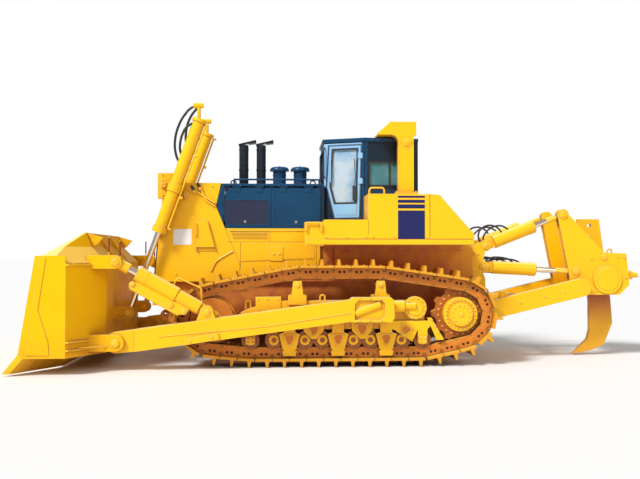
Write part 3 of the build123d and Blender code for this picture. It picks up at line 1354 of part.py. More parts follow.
# Blade pitch cylinders
def make_pitch_barrel():
    """Left pitch barrel with its base eye."""
    p, q = PITCH_BASE, PITCH_EYE
    barrel = tube_on_line(p, q, PITCH_BARREL_START, PITCH_BARREL_STEP, PITCH_BARREL_RADIUS, ARM_Y)
    barrel += tube_on_line(p, q, PITCH_BARREL_STEP - FIT, PITCH_BARREL_END, PITCH_HEAD_RADIUS, ARM_Y)
    half = PITCH_EYE_WIDTH / 2
    neck = [beside(p, q, 0, PITCH_EYE_RADIUS), beside(p, q, PITCH_BARREL_START + FIT, PITCH_EYE_RADIUS),
            beside(p, q, PITCH_BARREL_START + FIT, -PITCH_EYE_RADIUS), beside(p, q, 0, -PITCH_EYE_RADIUS)]
    barrel += prism(neck, "y", ARM_Y - half, ARM_Y + half)
    barrel += drum(p, PITCH_EYE_RADIUS, ARM_Y - half, ARM_Y + half)
    barrel -= drum(p, PITCH_PIN_RADIUS + FIT, ARM_Y - half, ARM_Y + half)
    bore_start = PITCH_BARREL_END - PITCH_ROD_INSIDE - PITCH_ROD_RADIUS - PITCH_BARREL_RADIUS
    return barrel - tube_on_line(p, q, bore_start, PITCH_BARREL_END, PITCH_ROD_RADIUS + FIT, ARM_Y)


def make_pitch_rod():
    """Left pitch rod with its eye."""
    p, q = PITCH_BASE, PITCH_EYE
    rod = tube_on_line(p, q, PITCH_BARREL_END - PITCH_ROD_INSIDE, math.dist(p, q), PITCH_ROD_RADIUS, ARM_Y)
    return rod + drum(q, PITCH_EYE_RADIUS, ARM_Y - PITCH_EYE_WIDTH / 2, ARM_Y + PITCH_EYE_WIDTH / 2)


pitch_barrel = make_pitch_barrel()
pitch_rod = make_pitch_rod()
save("pitch_barrels", pitch_barrel, flipped(pitch_barrel))
save("pitch_rods", pitch_rod, flipped(pitch_rod))


# Ripper mount on the hull
RIPPER_GAP = RIPPER_EYE_WIDTH / 2 + RUN_GAP


def make_ripper_mount():
    """Left clevis plates for the ripper's arm and cylinders, with their pins."""
    mount = None
    for side in (-1, 1):
        a = RIPPER_Y + side * RIPPER_GAP
        b = a + side * RIPPER_PLATE
        tilt_x, tilt_z = RIPPER_TILT_BASE
        lift_x, lift_z = RIPPER_LIFT_BASE
        radius = RIPPER_MOUNT_RADIUS
        outline = [(HULL_REAR, RIPPER_MOUNT_LOW), (HULL_REAR, RIPPER_MOUNT_TOP), (tilt_x, tilt_z + radius),
                   (tilt_x, tilt_z - radius), (lift_x, lift_z + radius), (lift_x, lift_z - radius),
                   (tilt_x, RIPPER_MOUNT_STEP), (tilt_x, RIPPER_MOUNT_LOW)]
        plate = prism(outline, "y", a, b)
        for spot in (RIPPER_TILT_BASE, RIPPER_LIFT_BASE):
            plate += drum(spot, RIPPER_MOUNT_RADIUS, a, b)
        mount = plate if mount is None else mount + plate
    inner, outer = RIPPER_Y - RIPPER_GAP - FIT, RIPPER_Y + RIPPER_GAP + FIT
    for spot in (RIPPER_TILT_BASE, RIPPER_LIFT_BASE):
        mount += drum(spot, RIPPER_PIN_RADIUS - RUN_GAP, inner, outer)
    mount += block(HULL_REAR, RIPPER_TILT_BASE[0] + RIPPER_MOUNT_RADIUS + RIPPER_PLATE, inner, outer,
                   RIPPER_MOUNT_LOW, RIPPER_WEB_TOP)
    arm_pin_in = RIPPER_Y + RIPPER_GAP + RIPPER_PLATE
    mount += block(HULL_REAR, RIPPER_ARM_PIVOT[0], RIPPER_Y, arm_pin_in, *RIPPER_SEAT_Z)
    mount += drum(RIPPER_ARM_PIVOT, RIPPER_SEAT_RADIUS, RIPPER_Y, arm_pin_in)
    return mount + drum(RIPPER_ARM_PIVOT, RIPPER_PIN_RADIUS, RIPPER_Y, RIPPER_ARM_OUT)


ripper_mount = make_ripper_mount()
save("ripper_mounts", ripper_mount, flipped(ripper_mount))


# Ripper arm: two side beams and a cross tube
def make_ripper_beam_side():
    """Left side beam of the lower ripper arm."""
    p, q = RIPPER_ARM_PIVOT, RIPPER_ARM_END
    reach = math.dist(p, q)
    radius = RIPPER_ARM_RADIUS
    outline = [beside(p, q, 0, radius), beside(p, q, reach, radius), beside(p, q, reach, -radius),
               beside(p, q, 0, -radius)]
    side = prism(outline, "y", RIPPER_ARM_IN, RIPPER_ARM_OUT)
    for spot in (p, q):
        side += drum(spot, radius, RIPPER_ARM_IN, RIPPER_ARM_OUT)
    for spot in (p, q):
        side -= drum(spot, RIPPER_PIN_RADIUS + FIT, RIPPER_ARM_IN, RIPPER_ARM_OUT)
    return side


cross_spot = along(RIPPER_ARM_PIVOT, RIPPER_ARM_END, CROSS_TUBE_AT)
arm_side = make_ripper_beam_side()
cross_half = RIPPER_ARM_IN + FIT
cross_tube = drum(cross_spot, CROSS_TUBE_RADIUS, -cross_half, cross_half)
ripper_pin = drum(RIPPER_ARM_END, RIPPER_PIN_RADIUS, RIPPER_Y + RIPPER_GAP, RIPPER_ARM_OUT)
save("ripper_arm", arm_side + cross_tube + flipped(arm_side))
save("ripper_pins", ripper_pin, flipped(ripper_pin))


# Ripper cylinders
def ripper_barrel_form(p, q, end, grow):
    """Outer form of a left ripper barrel and its base eye, grown by a distance."""
    form = tube_on_line(p, q, RIPPER_BARREL_START - grow, end + grow, RIPPER_BARREL_RADIUS + grow, RIPPER_Y)
    half = RIPPER_EYE_WIDTH / 2 + grow
    radius = RIPPER_EYE_RADIUS + grow
    neck = RIPPER_BARREL_START + FIT
    sides = [beside(p, q, 0, radius), beside(p, q, neck, radius), beside(p, q, neck, -radius),
             beside(p, q, 0, -radius)]
    form += prism(sides, "y", RIPPER_Y - half, RIPPER_Y + half)
    return form + drum(p, radius, RIPPER_Y - half, RIPPER_Y + half)


def make_ripper_barrel(p, q, end):
    """Left ripper barrel, bored for its pin and its rod."""
    half = RIPPER_EYE_WIDTH / 2
    barrel = ripper_barrel_form(p, q, end, 0)
    barrel -= drum(p, RIPPER_PIN_RADIUS - RUN_GAP + FIT, RIPPER_Y - half, RIPPER_Y + half)
    bore_start = RIPPER_BARREL_START + RIPPER_BARREL_RADIUS / 2
    return barrel - tube_on_line(p, q, bore_start, end, RIPPER_ROD_RADIUS + FIT, RIPPER_Y)


def make_ripper_rod(p, q, end, inside):
    """Left ripper rod with its eye."""
    rod = tube_on_line(p, q, end - inside, math.dist(p, q), RIPPER_ROD_RADIUS, RIPPER_Y)
    half = RIPPER_EYE_WIDTH / 2
    return rod + drum(q, RIPPER_EYE_RADIUS, RIPPER_Y - half, RIPPER_Y + half)


def ripper_hoses(base, eye, routes, seat):
    """Hoses over a left ripper barrel, given by distances along it and above it."""
    tubes = []
    for route, shift in zip(routes, RIPPER_HOSE_Y):
        spots = [beside(base, eye, u, -v) for u, v in route]
        tubes.append(hose([(x, RIPPER_Y + shift, z) for x, z in spots], RIPPER_HOSE_RADIUS) - seat)
    return tubes


ripper_sets = {
    "ripper_tilt": (RIPPER_TILT_BASE, RIPPER_TILT_EYE, RIPPER_TILT_BARREL_END, TILT_HOSES),
    "ripper_lift": (RIPPER_LIFT_BASE, RIPPER_LIFT_EYE, RIPPER_LIFT_BARREL_END, RAISE_HOSES),
}
for name, (base, eye, end, routes) in ripper_sets.items():
    barrel = make_ripper_barrel(base, eye, end)
    rod = make_ripper_rod(base, eye, end, (end - RIPPER_BARREL_START) / 2)
    save(f"{name}_barrels", barrel, flipped(barrel))
    save(f"{name}_rods", rod, flipped(rod))
    tubes = ripper_hoses(base, eye, routes, ripper_barrel_form(base, eye, end, HOSE_SEAT))
    save(f"{name}_hoses", *tubes, *[flipped(tube) for tube in tubes])


# Ripper beam, shank, point and pin puller
def shank_line(z):
    """X of the shank's middle line at a height."""
    return along(SHANK_LOW, SHANK_TOP, math.dist(SHANK_LOW, SHANK_TOP)
                 * (z - SHANK_LOW[1]) / (SHANK_TOP[1] - SHANK_LOW[1]))[0]


def make_ripper_beam():
    """Beam with tower plates on both sides and a slot for the shank."""
    tower = [(RIPPER_TILT_EYE[0] + RIPPER_TOWER_RADIUS, RIPPER_TILT_EYE[1]),
             (RIPPER_TILT_EYE[0] - RIPPER_TOWER_RADIUS, RIPPER_TILT_EYE[1]), BEAM_KNEE, (BEAM_REAR, BEAM_TOP),
             BEAM_TAIL, (BEAM_HEEL, BEAM_LOW), (RIPPER_ARM_END[0], BEAM_LOW),
             (RIPPER_ARM_END[0] + BEAM_NOSE, RIPPER_ARM_END[1]),
             (RIPPER_LIFT_EYE[0] + BEAM_LIFT_NOSE[0], RIPPER_LIFT_EYE[1] + BEAM_LIFT_NOSE[1])]
    plates = []
    for side in (-1, 1):
        a = RIPPER_Y + side * RIPPER_GAP
        b = a + side * RIPPER_PLATE
        plate = prism(tower, "y", a, b) + drum(RIPPER_TILT_EYE, RIPPER_TOWER_RADIUS, a, b)
        plates.append(plate)
    bridge = block(BEAM_REAR, BEAM_FRONT - BRIDGE_FRONT, RIPPER_Y - RIPPER_GAP - FIT,
                   RIPPER_Y + RIPPER_GAP + FIT, BEAM_LOW + BRIDGE_LOW, BEAM_TOP - BRIDGE_TOP)
    half_beam = plates[0] + plates[1] + bridge
    half_beam += drum(BEAM_DISC, BEAM_DISC_RADIUS, RIPPER_Y + RIPPER_GAP + RIPPER_PLATE - FIT,
                      RIPPER_Y + RIPPER_GAP + RIPPER_PLATE + BEAM_DISC_OUT)
    half_beam -= drum(RIPPER_ARM_END, RIPPER_PIN_RADIUS + FIT, RIPPER_Y - RIPPER_GAP - RIPPER_PLATE,
                      RIPPER_Y + RIPPER_GAP + RIPPER_PLATE)
    inner = RIPPER_Y - RIPPER_GAP - RIPPER_PLATE + FIT
    core = prism([(BEAM_FRONT, BEAM_LOW), (BEAM_FRONT, BEAM_TOP), (BEAM_REAR, BEAM_TOP), BEAM_TAIL,
                  (BEAM_HEEL, BEAM_LOW)], "y", -inner, inner)
    half = SHANK_WIDTH / 2 + RUN_GAP
    low, high = SHANK_LOW[1], SHANK_HOLE_Z
    slot = [(shank_line(low) + half, low), (shank_line(high) + half, high), (shank_line(high) - half, high),
            (shank_line(low) - half, low)]
    core -= prism(slot, "y", -SHANK_HALF, SHANK_HALF)
    return half_beam + flipped(half_beam) + core


POINT_REAR = SHANK_TIP[0] - POINT_LENGTH
POINT_SEAT = ((POINT_REAR, SHANK_TIP[1] + POINT_STEP), (POINT_REAR + POINT_STEP, POINT_TOP))


def make_shank():
    """Shank with its hole, leaning as it goes down and curving forward to the point."""
    half = SHANK_WIDTH / 2
    outline = [(SHANK_TOP[0] + half, SHANK_TOP[1]), (SHANK_TOP[0] - half, SHANK_TOP[1]),
               (SHANK_LOW[0] - half, SHANK_LOW[1]), SHANK_HEEL, SHANK_SOLE,
               *POINT_SEAT, SHANK_THROAT, (SHANK_LOW[0] + half, SHANK_LOW[1])]
    shank = prism(outline, "y", -SHANK_HALF, SHANK_HALF)
    return shank - drum((shank_line(SHANK_HOLE_Z), SHANK_HOLE_Z), SHANK_HOLE_RADIUS, -SHANK_HALF, SHANK_HALF)


def make_point():
    """Wedge point on the shank's nose."""
    return prism([POINT_SEAT[0], SHANK_TIP, POINT_SEAT[1]], "y", -SHANK_HALF, SHANK_HALF)


puller_end = TAIL_X + PULLER_TIP
puller = bar((BEAM_REAR - PULLER_SEAT, 0, PULLER_Z), (puller_end, 0, PULLER_Z), PULLER_RADIUS)
puller += bar((puller_end + FIT, 0, PULLER_Z), (TAIL_X, 0, PULLER_Z), PULLER_TIP_RADIUS)
beam = make_ripper_beam()
save("ripper_beam", beam)
save("ripper_shank", make_shank())
save("ripper_point", make_point())
save("pin_puller", puller - beam)
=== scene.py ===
import bmesh
import bpy
import json
import math
from collections import namedtuple
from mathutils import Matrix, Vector
from mathutils.bvhtree import BVHTree


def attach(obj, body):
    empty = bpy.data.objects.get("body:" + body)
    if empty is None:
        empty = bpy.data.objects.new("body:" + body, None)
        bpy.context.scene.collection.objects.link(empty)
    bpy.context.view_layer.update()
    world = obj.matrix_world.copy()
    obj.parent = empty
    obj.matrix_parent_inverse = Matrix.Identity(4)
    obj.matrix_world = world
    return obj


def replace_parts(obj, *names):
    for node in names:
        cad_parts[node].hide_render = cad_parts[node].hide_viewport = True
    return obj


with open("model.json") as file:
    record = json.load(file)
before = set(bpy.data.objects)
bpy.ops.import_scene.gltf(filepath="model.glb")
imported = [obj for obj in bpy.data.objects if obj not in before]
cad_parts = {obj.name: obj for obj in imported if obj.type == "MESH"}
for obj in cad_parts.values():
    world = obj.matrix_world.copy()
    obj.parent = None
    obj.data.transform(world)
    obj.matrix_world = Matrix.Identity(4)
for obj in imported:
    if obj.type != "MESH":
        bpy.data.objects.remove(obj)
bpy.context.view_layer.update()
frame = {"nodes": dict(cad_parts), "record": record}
nodes = frame["nodes"]

# Metres. X points forward, Y to the machine's left, Z up.
LEFT = Vector((0, 1, 0))
UP = Vector((0, 0, 1))
FRONT = Vector((1, 0, 0))

# Camera: place in metres, angles in degrees, focal length in pixels of the picture's width
CAMERA_SPOT = (1.44, 17.0, 2.06)
CAMERA_YAW = 3.0
CAMERA_PITCH = 1.14
LENS_PIXELS = 826
PICTURE_WIDTH = 640
SENSOR = 36.0

# Floor and light: colours, strengths and angles in degrees
FLOOR_HALF = 400.0
FLOOR_COLOUR = (0.84, 0.84, 0.84, 1)
FLOOR_ROUGHNESS = 0.9
SKY_COLOUR = (1.0, 1.0, 1.0, 1)
SKY_STRENGTH = 0.42
BACKDROP_STRENGTH = 1.0
LIGHT_SPREAD = 14.0
LIGHTS = {"key": (3.3, (47.0, 0.0, 134.0)), "fill": (0.35, (62.0, 0.0, 205.0))}

# Paint colours, linear: main tone, shaded tone mixed in at random, and pale edge tone for worn edges, which
# also paints highlight on edges and on top faces
Tones = namedtuple("Tones", "main shade edge")
YELLOW = Tones((0.97, 0.53, 0.004), (0.92, 0.46, 0.004), (1.0, 0.85, 0.36))
# HULL, LINK, CHAIN, SHANK, TEETH and ROLLER are darker, browner copies of the yellow paint: painted shade,
# with some dirt on the undercarriage
HULL = Tones((0.84, 0.36, 0.012), (0.74, 0.28, 0.012), YELLOW.edge)
LINK = Tones((0.68, 0.22, 0.018), (0.42, 0.125, 0.018), (0.95, 0.66, 0.12))
CHAIN = Tones((0.48, 0.18, 0.016), (0.34, 0.12, 0.014), LINK.edge)
SHANK = Tones((0.88, 0.44, 0.020), (0.78, 0.36, 0.018), LINK.edge)
TEETH = Tones((0.455, 0.134, 0.014), (0.33, 0.09, 0.014), LINK.edge)
ROLLER = Tones((0.36, 0.108, 0.030), (0.22, 0.075, 0.020), LINK.edge)
BLUE = Tones((0.004, 0.054, 0.130), (0.004, 0.034, 0.085), (0.02, 0.15, 0.33))
# Cab shell near black: painted shade of the cab under the roll-over frame
CAB_DARK = Tones((0.006, 0.020, 0.040), (0.005, 0.012, 0.022), BLUE.edge)
STACK_DARK = Tones((0.010, 0.014, 0.022), CAB_DARK.shade, BLUE.main)
# Light blue: lit copy of the cab blue, painted light on the doors and front posts
LIGHT_BLUE = Tones((0.27, 0.50, 0.76), (0.20, 0.42, 0.68), (0.50, 0.72, 0.90))
NAVY = Tones((0.012, 0.016, 0.100), (0.010, 0.013, 0.075), (0.03, 0.04, 0.16))
WHITE = Tones((0.86, 0.86, 0.84), (0.74, 0.74, 0.72), (0.86, 0.86, 0.84))

# Grime colours with painted shade for corners and places under things, and other colours, linear
GRIME_AND_SHADE = (0.40, 0.105, 0.030)
DEEP_GRIME_AND_SHADE = (0.060, 0.020, 0.010)
HULL_DIRT_AND_SHADE = (0.52, 0.105, 0.065)
SHOE_YELLOW = (0.70, 0.31, 0.012)
SHANK_SHADOW = (0.36, 0.09, 0.040)
# Near black: soot on the stack mouths, and painted shade in the bolt pockets and screen holes
SOOT_AND_SHADE = (0.010, 0.010, 0.012)
IRON = (0.035, 0.035, 0.040)
IRON_SHADE = (0.020, 0.020, 0.022)
STEEL = (0.66, 0.43, 0.10)
STEEL_SHADE = (0.40, 0.24, 0.07)
CHROME = (0.90, 0.80, 0.64)
CHROME_SHADE = (0.72, 0.60, 0.44)
SEAM = (0.16, 0.055, 0.012)
SEAM_SHADE = (0.10, 0.035, 0.010)
POCKET_SHADE = (0.050, 0.020, 0.008)
SPIKE_RED = (0.24, 0.030, 0.015)
SPIKE_SHADE = (0.16, 0.022, 0.012)
SCREEN_BLUE = (0.010, 0.015, 0.050)
# Door glass: pale blue-white tint with painted reflection of the sky
GLASS_TINT_AND_REFLECTION = (0.40, 0.68, 0.95)
GLASS_PALE_AND_REFLECTION = (0.76, 0.90, 1.0)
TEAL_TINT = (0.10, 0.34, 0.40)
TEAL_PALE = (0.22, 0.50, 0.56)
RUBBER = (0.012, 0.012, 0.013)
RUBBER_PALE = (0.03, 0.03, 0.03)
CLOTH = (0.030, 0.032, 0.038)
CLOTH_LIGHT = (0.075, 0.077, 0.085)
LAMP = (0.90, 0.88, 0.80)

# Paint finish: share of painted highlight on top faces, radius of softened edges, roughness of the clear
# coat
TOP_HIGHLIGHT = 0.75
EDGE_RADIUS = 0.012
COAT_ROUGHNESS = 0.15

# Undercarriage, as in the solids
TRACK_Y = 1.385
SHOE_COUNT = 40
SHOE_TOP = 0.165
LINK_IN = 0.085
CHAIN_FACE = 1.5725
PIN_CIRCLE = 0.525
SPROCKET = (-2.010, 0.965)
IDLER = (2.640, 0.875)
ROLLER_X = (1.925, 1.490, 0.915, 0.590, 0.010, -0.310, -0.890, -1.285)
ROLLER_Z = 0.495
ROLLER_RADIUS = 0.130
ROLLER_FACE = 1.6095
CARRIER_X = (1.055, -0.505)
CARRIER_Z = 1.520
CARRIER_RADIUS = 0.110
COVER_FACE = 1.6615
PIVOT_CAP = (-1.145, 1.092)
PIVOT_CAP_FACE = 1.685
ARM_Y = 1.980
ARM_OUT = 2.130

# Body, as in the solids
GUARD_FACE = 0.760
FENDER_FACE = 1.740
FENDER_LOW = 2.270
BOX_TOP = 3.216
LOW_BOX_TOP = 2.732
HOOD_TOP = 3.480
STACK_X = (2.116, 1.760)
CLEANER_X = (1.384, 0.960)
CAB_CORNER = (0.500, 0.600)
CAB_MID = (-0.280, 0.920)
CAB_REAR = (-1.350, 0.800)
CAB_ROOF = 4.380
CAB_FLOOR = 2.660
ROPS_FACE = 1.185

# Pins of blade and ripper in X and Z, and their cylinders' places along Y, as in the solids
LIFT_PIVOT = (3.407, 3.377)
LIFT_EYE = (4.269, 0.979)
LIFT_Y = 0.935
PITCH_BASE = (2.699, 1.048)
PITCH_EYE = (4.325, 1.952)
BLADE_PIN = (4.300, 0.512)
TILT_BASE = (-2.744, 2.262)
TILT_EYE = (-4.344, 2.895)
RAISE_BASE = (-2.700, 1.845)
RAISE_EYE = (-4.596, 1.745)
ARM_PIVOT = (-2.720, 0.960)
RIPPER_Y = 0.500


# Material helpers
def shader(name):
    """New material and its tree and surface node."""
    material = bpy.data.materials.new(name)
    material.use_nodes = True
    return material, material.node_tree, material.node_tree.nodes["Principled BSDF"]


def node(tree, kind, **inputs):
    """New node with constant inputs set by name."""
    made = tree.nodes.new(kind)
    for label, value in inputs.items():
        made.inputs[label].default_value = value
    return made


def place(tree):
    """Object coordinates, which are the machine's own frame at rest."""
    return tree.nodes.new("ShaderNodeTexCoord").outputs["Object"]


def noise(tree, scale, detail=4.0):
    """Cloudy noise in the machine's frame."""
    made = node(tree, "ShaderNodeTexNoise", Scale=scale, Detail=detail)
    tree.links.new(place(tree), made.inputs["Vector"])
    return made.outputs["Fac"]


def spread(tree, value, low, high, to_low, to_high):
    """Map a value range onto another, clamped."""
    made = node(tree, "ShaderNodeMapRange")
    for index, number in enumerate((low, high, to_low, to_high), start=1):
        made.inputs[index].default_value = number
    tree.links.new(value, made.inputs[0])
    return made.outputs[0]


def mixed(tree, share, first, second):
    """Mix two colours, each a tuple or a socket."""
    made = tree.nodes.new("ShaderNodeMix")
    made.data_type = "RGBA"
    tree.links.new(share, made.inputs["Factor"])
    for slot, colour in ((6, first), (7, second)):
        if isinstance(colour, tuple):
            made.inputs[slot].default_value = (*colour, 1)
        else:
            tree.links.new(colour, made.inputs[slot])
    return made.outputs[2]


def product(tree, first, second):
    """Product of two values."""
    made = tree.nodes.new("ShaderNodeMath")
    made.operation = "MULTIPLY"
    tree.links.new(first, made.inputs[0])
    tree.links.new(second, made.inputs[1])
    return made.outputs[0]


def bump(tree, skin, height, strength, distance, base=None):
    """Bump the surface by a height value, over a base normal."""
    made = node(tree, "ShaderNodeBump", Strength=strength, Distance=distance)
    tree.links.new(height, made.inputs["Height"])
    if base:
        tree.links.new(base, made.inputs["Normal"])
    tree.links.new(made.outputs["Normal"], skin.inputs["Normal"])


def roughen(tree, skin, scale, low, high):
    """Uneven roughness between two values."""
    tree.links.new(spread(tree, noise(tree, scale), 0.3, 0.7, low, high), skin.inputs["Roughness"])


def soft_edges(tree, radius):
    """Normal that rounds the edges off, and a value that rises to 1 on them."""
    rounder = node(tree, "ShaderNodeBevel", Radius=radius)
    rounder.samples = 4
    plain = tree.nodes.new("ShaderNodeNewGeometry")
    meet = tree.nodes.new("ShaderNodeVectorMath")
    meet.operation = "DOT_PRODUCT"
    tree.links.new(rounder.outputs["Normal"], meet.inputs[0])
    tree.links.new(plain.outputs["Normal"], meet.inputs[1])
    return rounder.outputs["Normal"], spread(tree, meet.outputs["Value"], 0.97, 0.80, 0.0, 1.0)


def crevice(tree, reach):
    """Value that rises from 0 in the open to 1 deep in corners, from ambient occlusion: it places painted
    shade and grime.
    """
    made = node(tree, "ShaderNodeAmbientOcclusion", Distance=reach)
    made.samples = 6
    return spread(tree, made.outputs["AO"], 0.15, 0.85, 1.0, 0.0)


def split(tree, vector):
    """The three parts of a vector."""
    parts = tree.nodes.new("ShaderNodeSeparateXYZ")
    tree.links.new(vector, parts.inputs["Vector"])
    return parts.outputs


def beyond(tree, axis, low, high):
    """Value that rises from 0 to 1 between two distances along an axis, on both sides."""
    size = tree.nodes.new("ShaderNodeMath")
    size.operation = "ABSOLUTE"
    tree.links.new(split(tree, place(tree))[axis], size.inputs[0])
    return spread(tree, size.outputs[0], low, high, 0.0, 1.0)


def upward(tree, share):
    """Value that rises to a share on faces that look up, where the pale painted highlight of light from
    above lies.
    """
    normal = tree.nodes.new("ShaderNodeNewGeometry").outputs["Normal"]
    return spread(tree, split(tree, normal)["Z"], 0.55, 0.97, 0.0, share)


def paint(name, tones, rough, shade_and_grime, reach=0.25, ends=(), shade_and_dirt=GRIME_AND_SHADE, gloss=0.12):
    """Machine paint: uneven tone, pale worn edges with painted highlight, fine ripple, painted highlight on
    top faces, and grime with painted shade in its corners.
    """
    material, tree, skin = shader(name)
    normal, rim = soft_edges(tree, EDGE_RADIUS)
    tone = mixed(tree, spread(tree, noise(tree, 1.3), 0.35, 0.7, 0.0, 0.55), tones.main, tones.shade)
    for far_colour, axis, low, high in ends:
        tone = mixed(tree, beyond(tree, axis, low, high), tone, far_colour)
    # Faces that look up are mixed toward the pale edge tone: painted highlight of light from above.
    tone = mixed(tree, upward(tree, TOP_HIGHLIGHT), tone, tones.edge)
    # Rounded edges get the pale edge tone: wear, and painted highlight along the edges.
    worn_and_highlit = product(tree, rim, spread(tree, noise(tree, 6.0), 0.3, 0.6, 0.2, 0.8))
    tone = mixed(tree, worn_and_highlit, tone, tones.edge)
    # Corners and places under things are mixed toward the dirt colour: grime, and painted shade where less
    # light reaches.
    shade_and_grime_share = product(tree, crevice(tree, reach), spread(tree, noise(tree, 5.0), 0.30, 0.70, 0.45, 1.0))
    shade_and_grime_share = spread(tree, shade_and_grime_share, 0.0, 1.0, 0.0, shade_and_grime)
    tree.links.new(mixed(tree, shade_and_grime_share, tone, shade_and_dirt), skin.inputs["Base Color"])
    roughen(tree, skin, 9.0, rough, rough + 0.14)
    bump(tree, skin, noise(tree, 60.0, 2.0), 0.08, 0.004, normal)
    skin.inputs["Specular IOR Level"].default_value = 2 * gloss
    skin.inputs["Coat Weight"].default_value = gloss
    skin.inputs["Coat Roughness"].default_value = COAT_ROUGHNESS
    return material


def metal(name, colour, shade, rough, shine=0.0):
    """Bare or worn metal, or a dull coat, with blotches and scratches."""
    material, tree, skin = shader(name)
    blotch = spread(tree, noise(tree, 7.0, 8.0), 0.35, 0.65, 0.0, 1.0)
    tree.links.new(mixed(tree, blotch, colour, shade), skin.inputs["Base Color"])
    roughen(tree, skin, 30.0, rough, rough + 0.2)
    bump(tree, skin, noise(tree, 80.0, 3.0), 0.15, 0.003)
    skin.inputs["Metallic"].default_value = shine
    return material


def chrome(name):
    """Polished cylinder rod with a faint warm film."""
    material, tree, skin = shader(name)
    tree.links.new(mixed(tree, noise(tree, 20.0), CHROME, CHROME_SHADE), skin.inputs["Base Color"])
    roughen(tree, skin, 45.0, 0.08, 0.20)
    skin.inputs["Metallic"].default_value = 1.0
    return material


def rubber(name):
    """Black rubber with a fine grain."""
    material, tree, skin = shader(name)
    tree.links.new(mixed(tree, noise(tree, 12.0), RUBBER, RUBBER_PALE), skin.inputs["Base Color"])
    roughen(tree, skin, 40.0, 0.38, 0.6)
    bump(tree, skin, noise(tree, 300.0, 2.0), 0.15, 0.002)
    return material


def glass(name, pane_colour, pane_pale):
    """Tinted pane, partly clear, with a faint uneven tint; the door glass colours also carry painted
    reflection.
    """
    material, tree, skin = shader(name)
    cloud = spread(tree, noise(tree, 2.5), 0.4, 0.6, 0.0, 1.0)
    tree.links.new(mixed(tree, cloud, pane_colour, pane_pale), skin.inputs["Base Color"])
    roughen(tree, skin, 4.0, 0.03, 0.10)
    skin.inputs["Transmission Weight"].default_value = 0.45
    skin.inputs["IOR"].default_value = 1.5
    skin.inputs["Coat Weight"].default_value = 0.6
    return material


def cloth(name):
    """Woven seat cover."""
    material, tree, skin = shader(name)
    weave = node(tree, "ShaderNodeTexWave", Scale=220.0, Distortion=1.0)
    tree.links.new(place(tree), weave.inputs["Vector"])
    tree.links.new(mixed(tree, weave.outputs["Fac"], CLOTH, CLOTH_LIGHT), skin.inputs["Base Color"])
    bump(tree, skin, weave.outputs["Fac"], 0.3, 0.002)
    skin.inputs["Roughness"].default_value = 0.9
    skin.inputs["Sheen Weight"].default_value = 0.4
    return material


def screen(name):
    """Navy sheet with rows of small round holes, painted near black as shade of the space behind them."""
    material, tree, skin = shader(name)
    cells = node(tree, "ShaderNodeTexVoronoi", Scale=36.0, Randomness=0.0)
    tree.links.new(place(tree), cells.inputs["Vector"])
    hole = spread(tree, cells.outputs["Distance"], 0.28, 0.36, 1.0, 0.0)
    # Holes take the near-black colour: painted shade.
    tree.links.new(mixed(tree, hole, SCREEN_BLUE, SOOT_AND_SHADE), skin.inputs["Base Color"])
    roughen(tree, skin, 9.0, 0.35, 0.5)
    bump(tree, skin, cells.outputs["Distance"], 0.3, 0.004)
    return material


# Materials. Paint that changes along an axis: far colour, axis, where it starts and where it is full
# Chain paint is dark brown, painted shade between and behind the links; the shoe ends beyond the chain and
# the top of the upper run get the shoes' yellow
SHOE_ENDS = ((SHOE_YELLOW, "Y", CHAIN_FACE + 0.012, CHAIN_FACE + 0.020), (SHOE_YELLOW, "Z", 1.80, 1.83))
HUB_END = ((YELLOW.main, "Y", TRACK_Y + 0.08, TRACK_Y + 0.10),)
# Ripper shank: browner from 0.60 m up to just below the beam, painted shadow of the beam, then yellow above
# it
SHANK_SHADOW_AND_TOP = ((SHANK_SHADOW, "Z", 0.60, 1.25), (YELLOW.shade, "Z", 1.40, 1.60))
chain_paint = paint("chain_paint", CHAIN, rough=0.45, shade_and_grime=0.9, reach=0.30, ends=SHOE_ENDS, shade_and_dirt=DEEP_GRIME_AND_SHADE)
sprocket_paint = paint("sprocket_paint", TEETH, rough=0.42, shade_and_grime=0.7, reach=0.20, ends=HUB_END)
shank_paint = paint("shank_paint", SHANK, rough=0.42, shade_and_grime=0.6, reach=0.40, ends=SHANK_SHADOW_AND_TOP)
link_paint = paint("link_paint", LINK, rough=0.42, shade_and_grime=0.7, reach=0.20)
roller_paint = paint("roller_paint", ROLLER, rough=0.45, shade_and_grime=0.9, reach=0.30, shade_and_dirt=DEEP_GRIME_AND_SHADE)
# Hull and blade paints mix in the dirt colour over a wide reach: painted shade under the fenders and on the
# backs of the blade wings, with grime
hull_paint = paint("hull_paint", HULL, rough=0.45, shade_and_grime=1.0, reach=1.40, shade_and_dirt=HULL_DIRT_AND_SHADE, gloss=0.06)
blade_paint = paint("blade_paint", YELLOW, rough=0.50, shade_and_grime=0.90, reach=1.40, gloss=0.03)
cab_paint = paint("cab_dark", CAB_DARK, rough=0.28, shade_and_grime=0.1)
stack_paint = paint("stack_paint", STACK_DARK, rough=0.40, shade_and_grime=0.1)
navy_paint = paint("navy_paint", NAVY, rough=0.3, shade_and_grime=0.05)
white_plate = paint("white_plate", WHITE, rough=0.35, shade_and_grime=0.1)
seam_dark = metal("seam", SEAM, SEAM_SHADE, rough=0.6)
soot = metal("soot", SOOT_AND_SHADE, IRON_SHADE, rough=0.7)
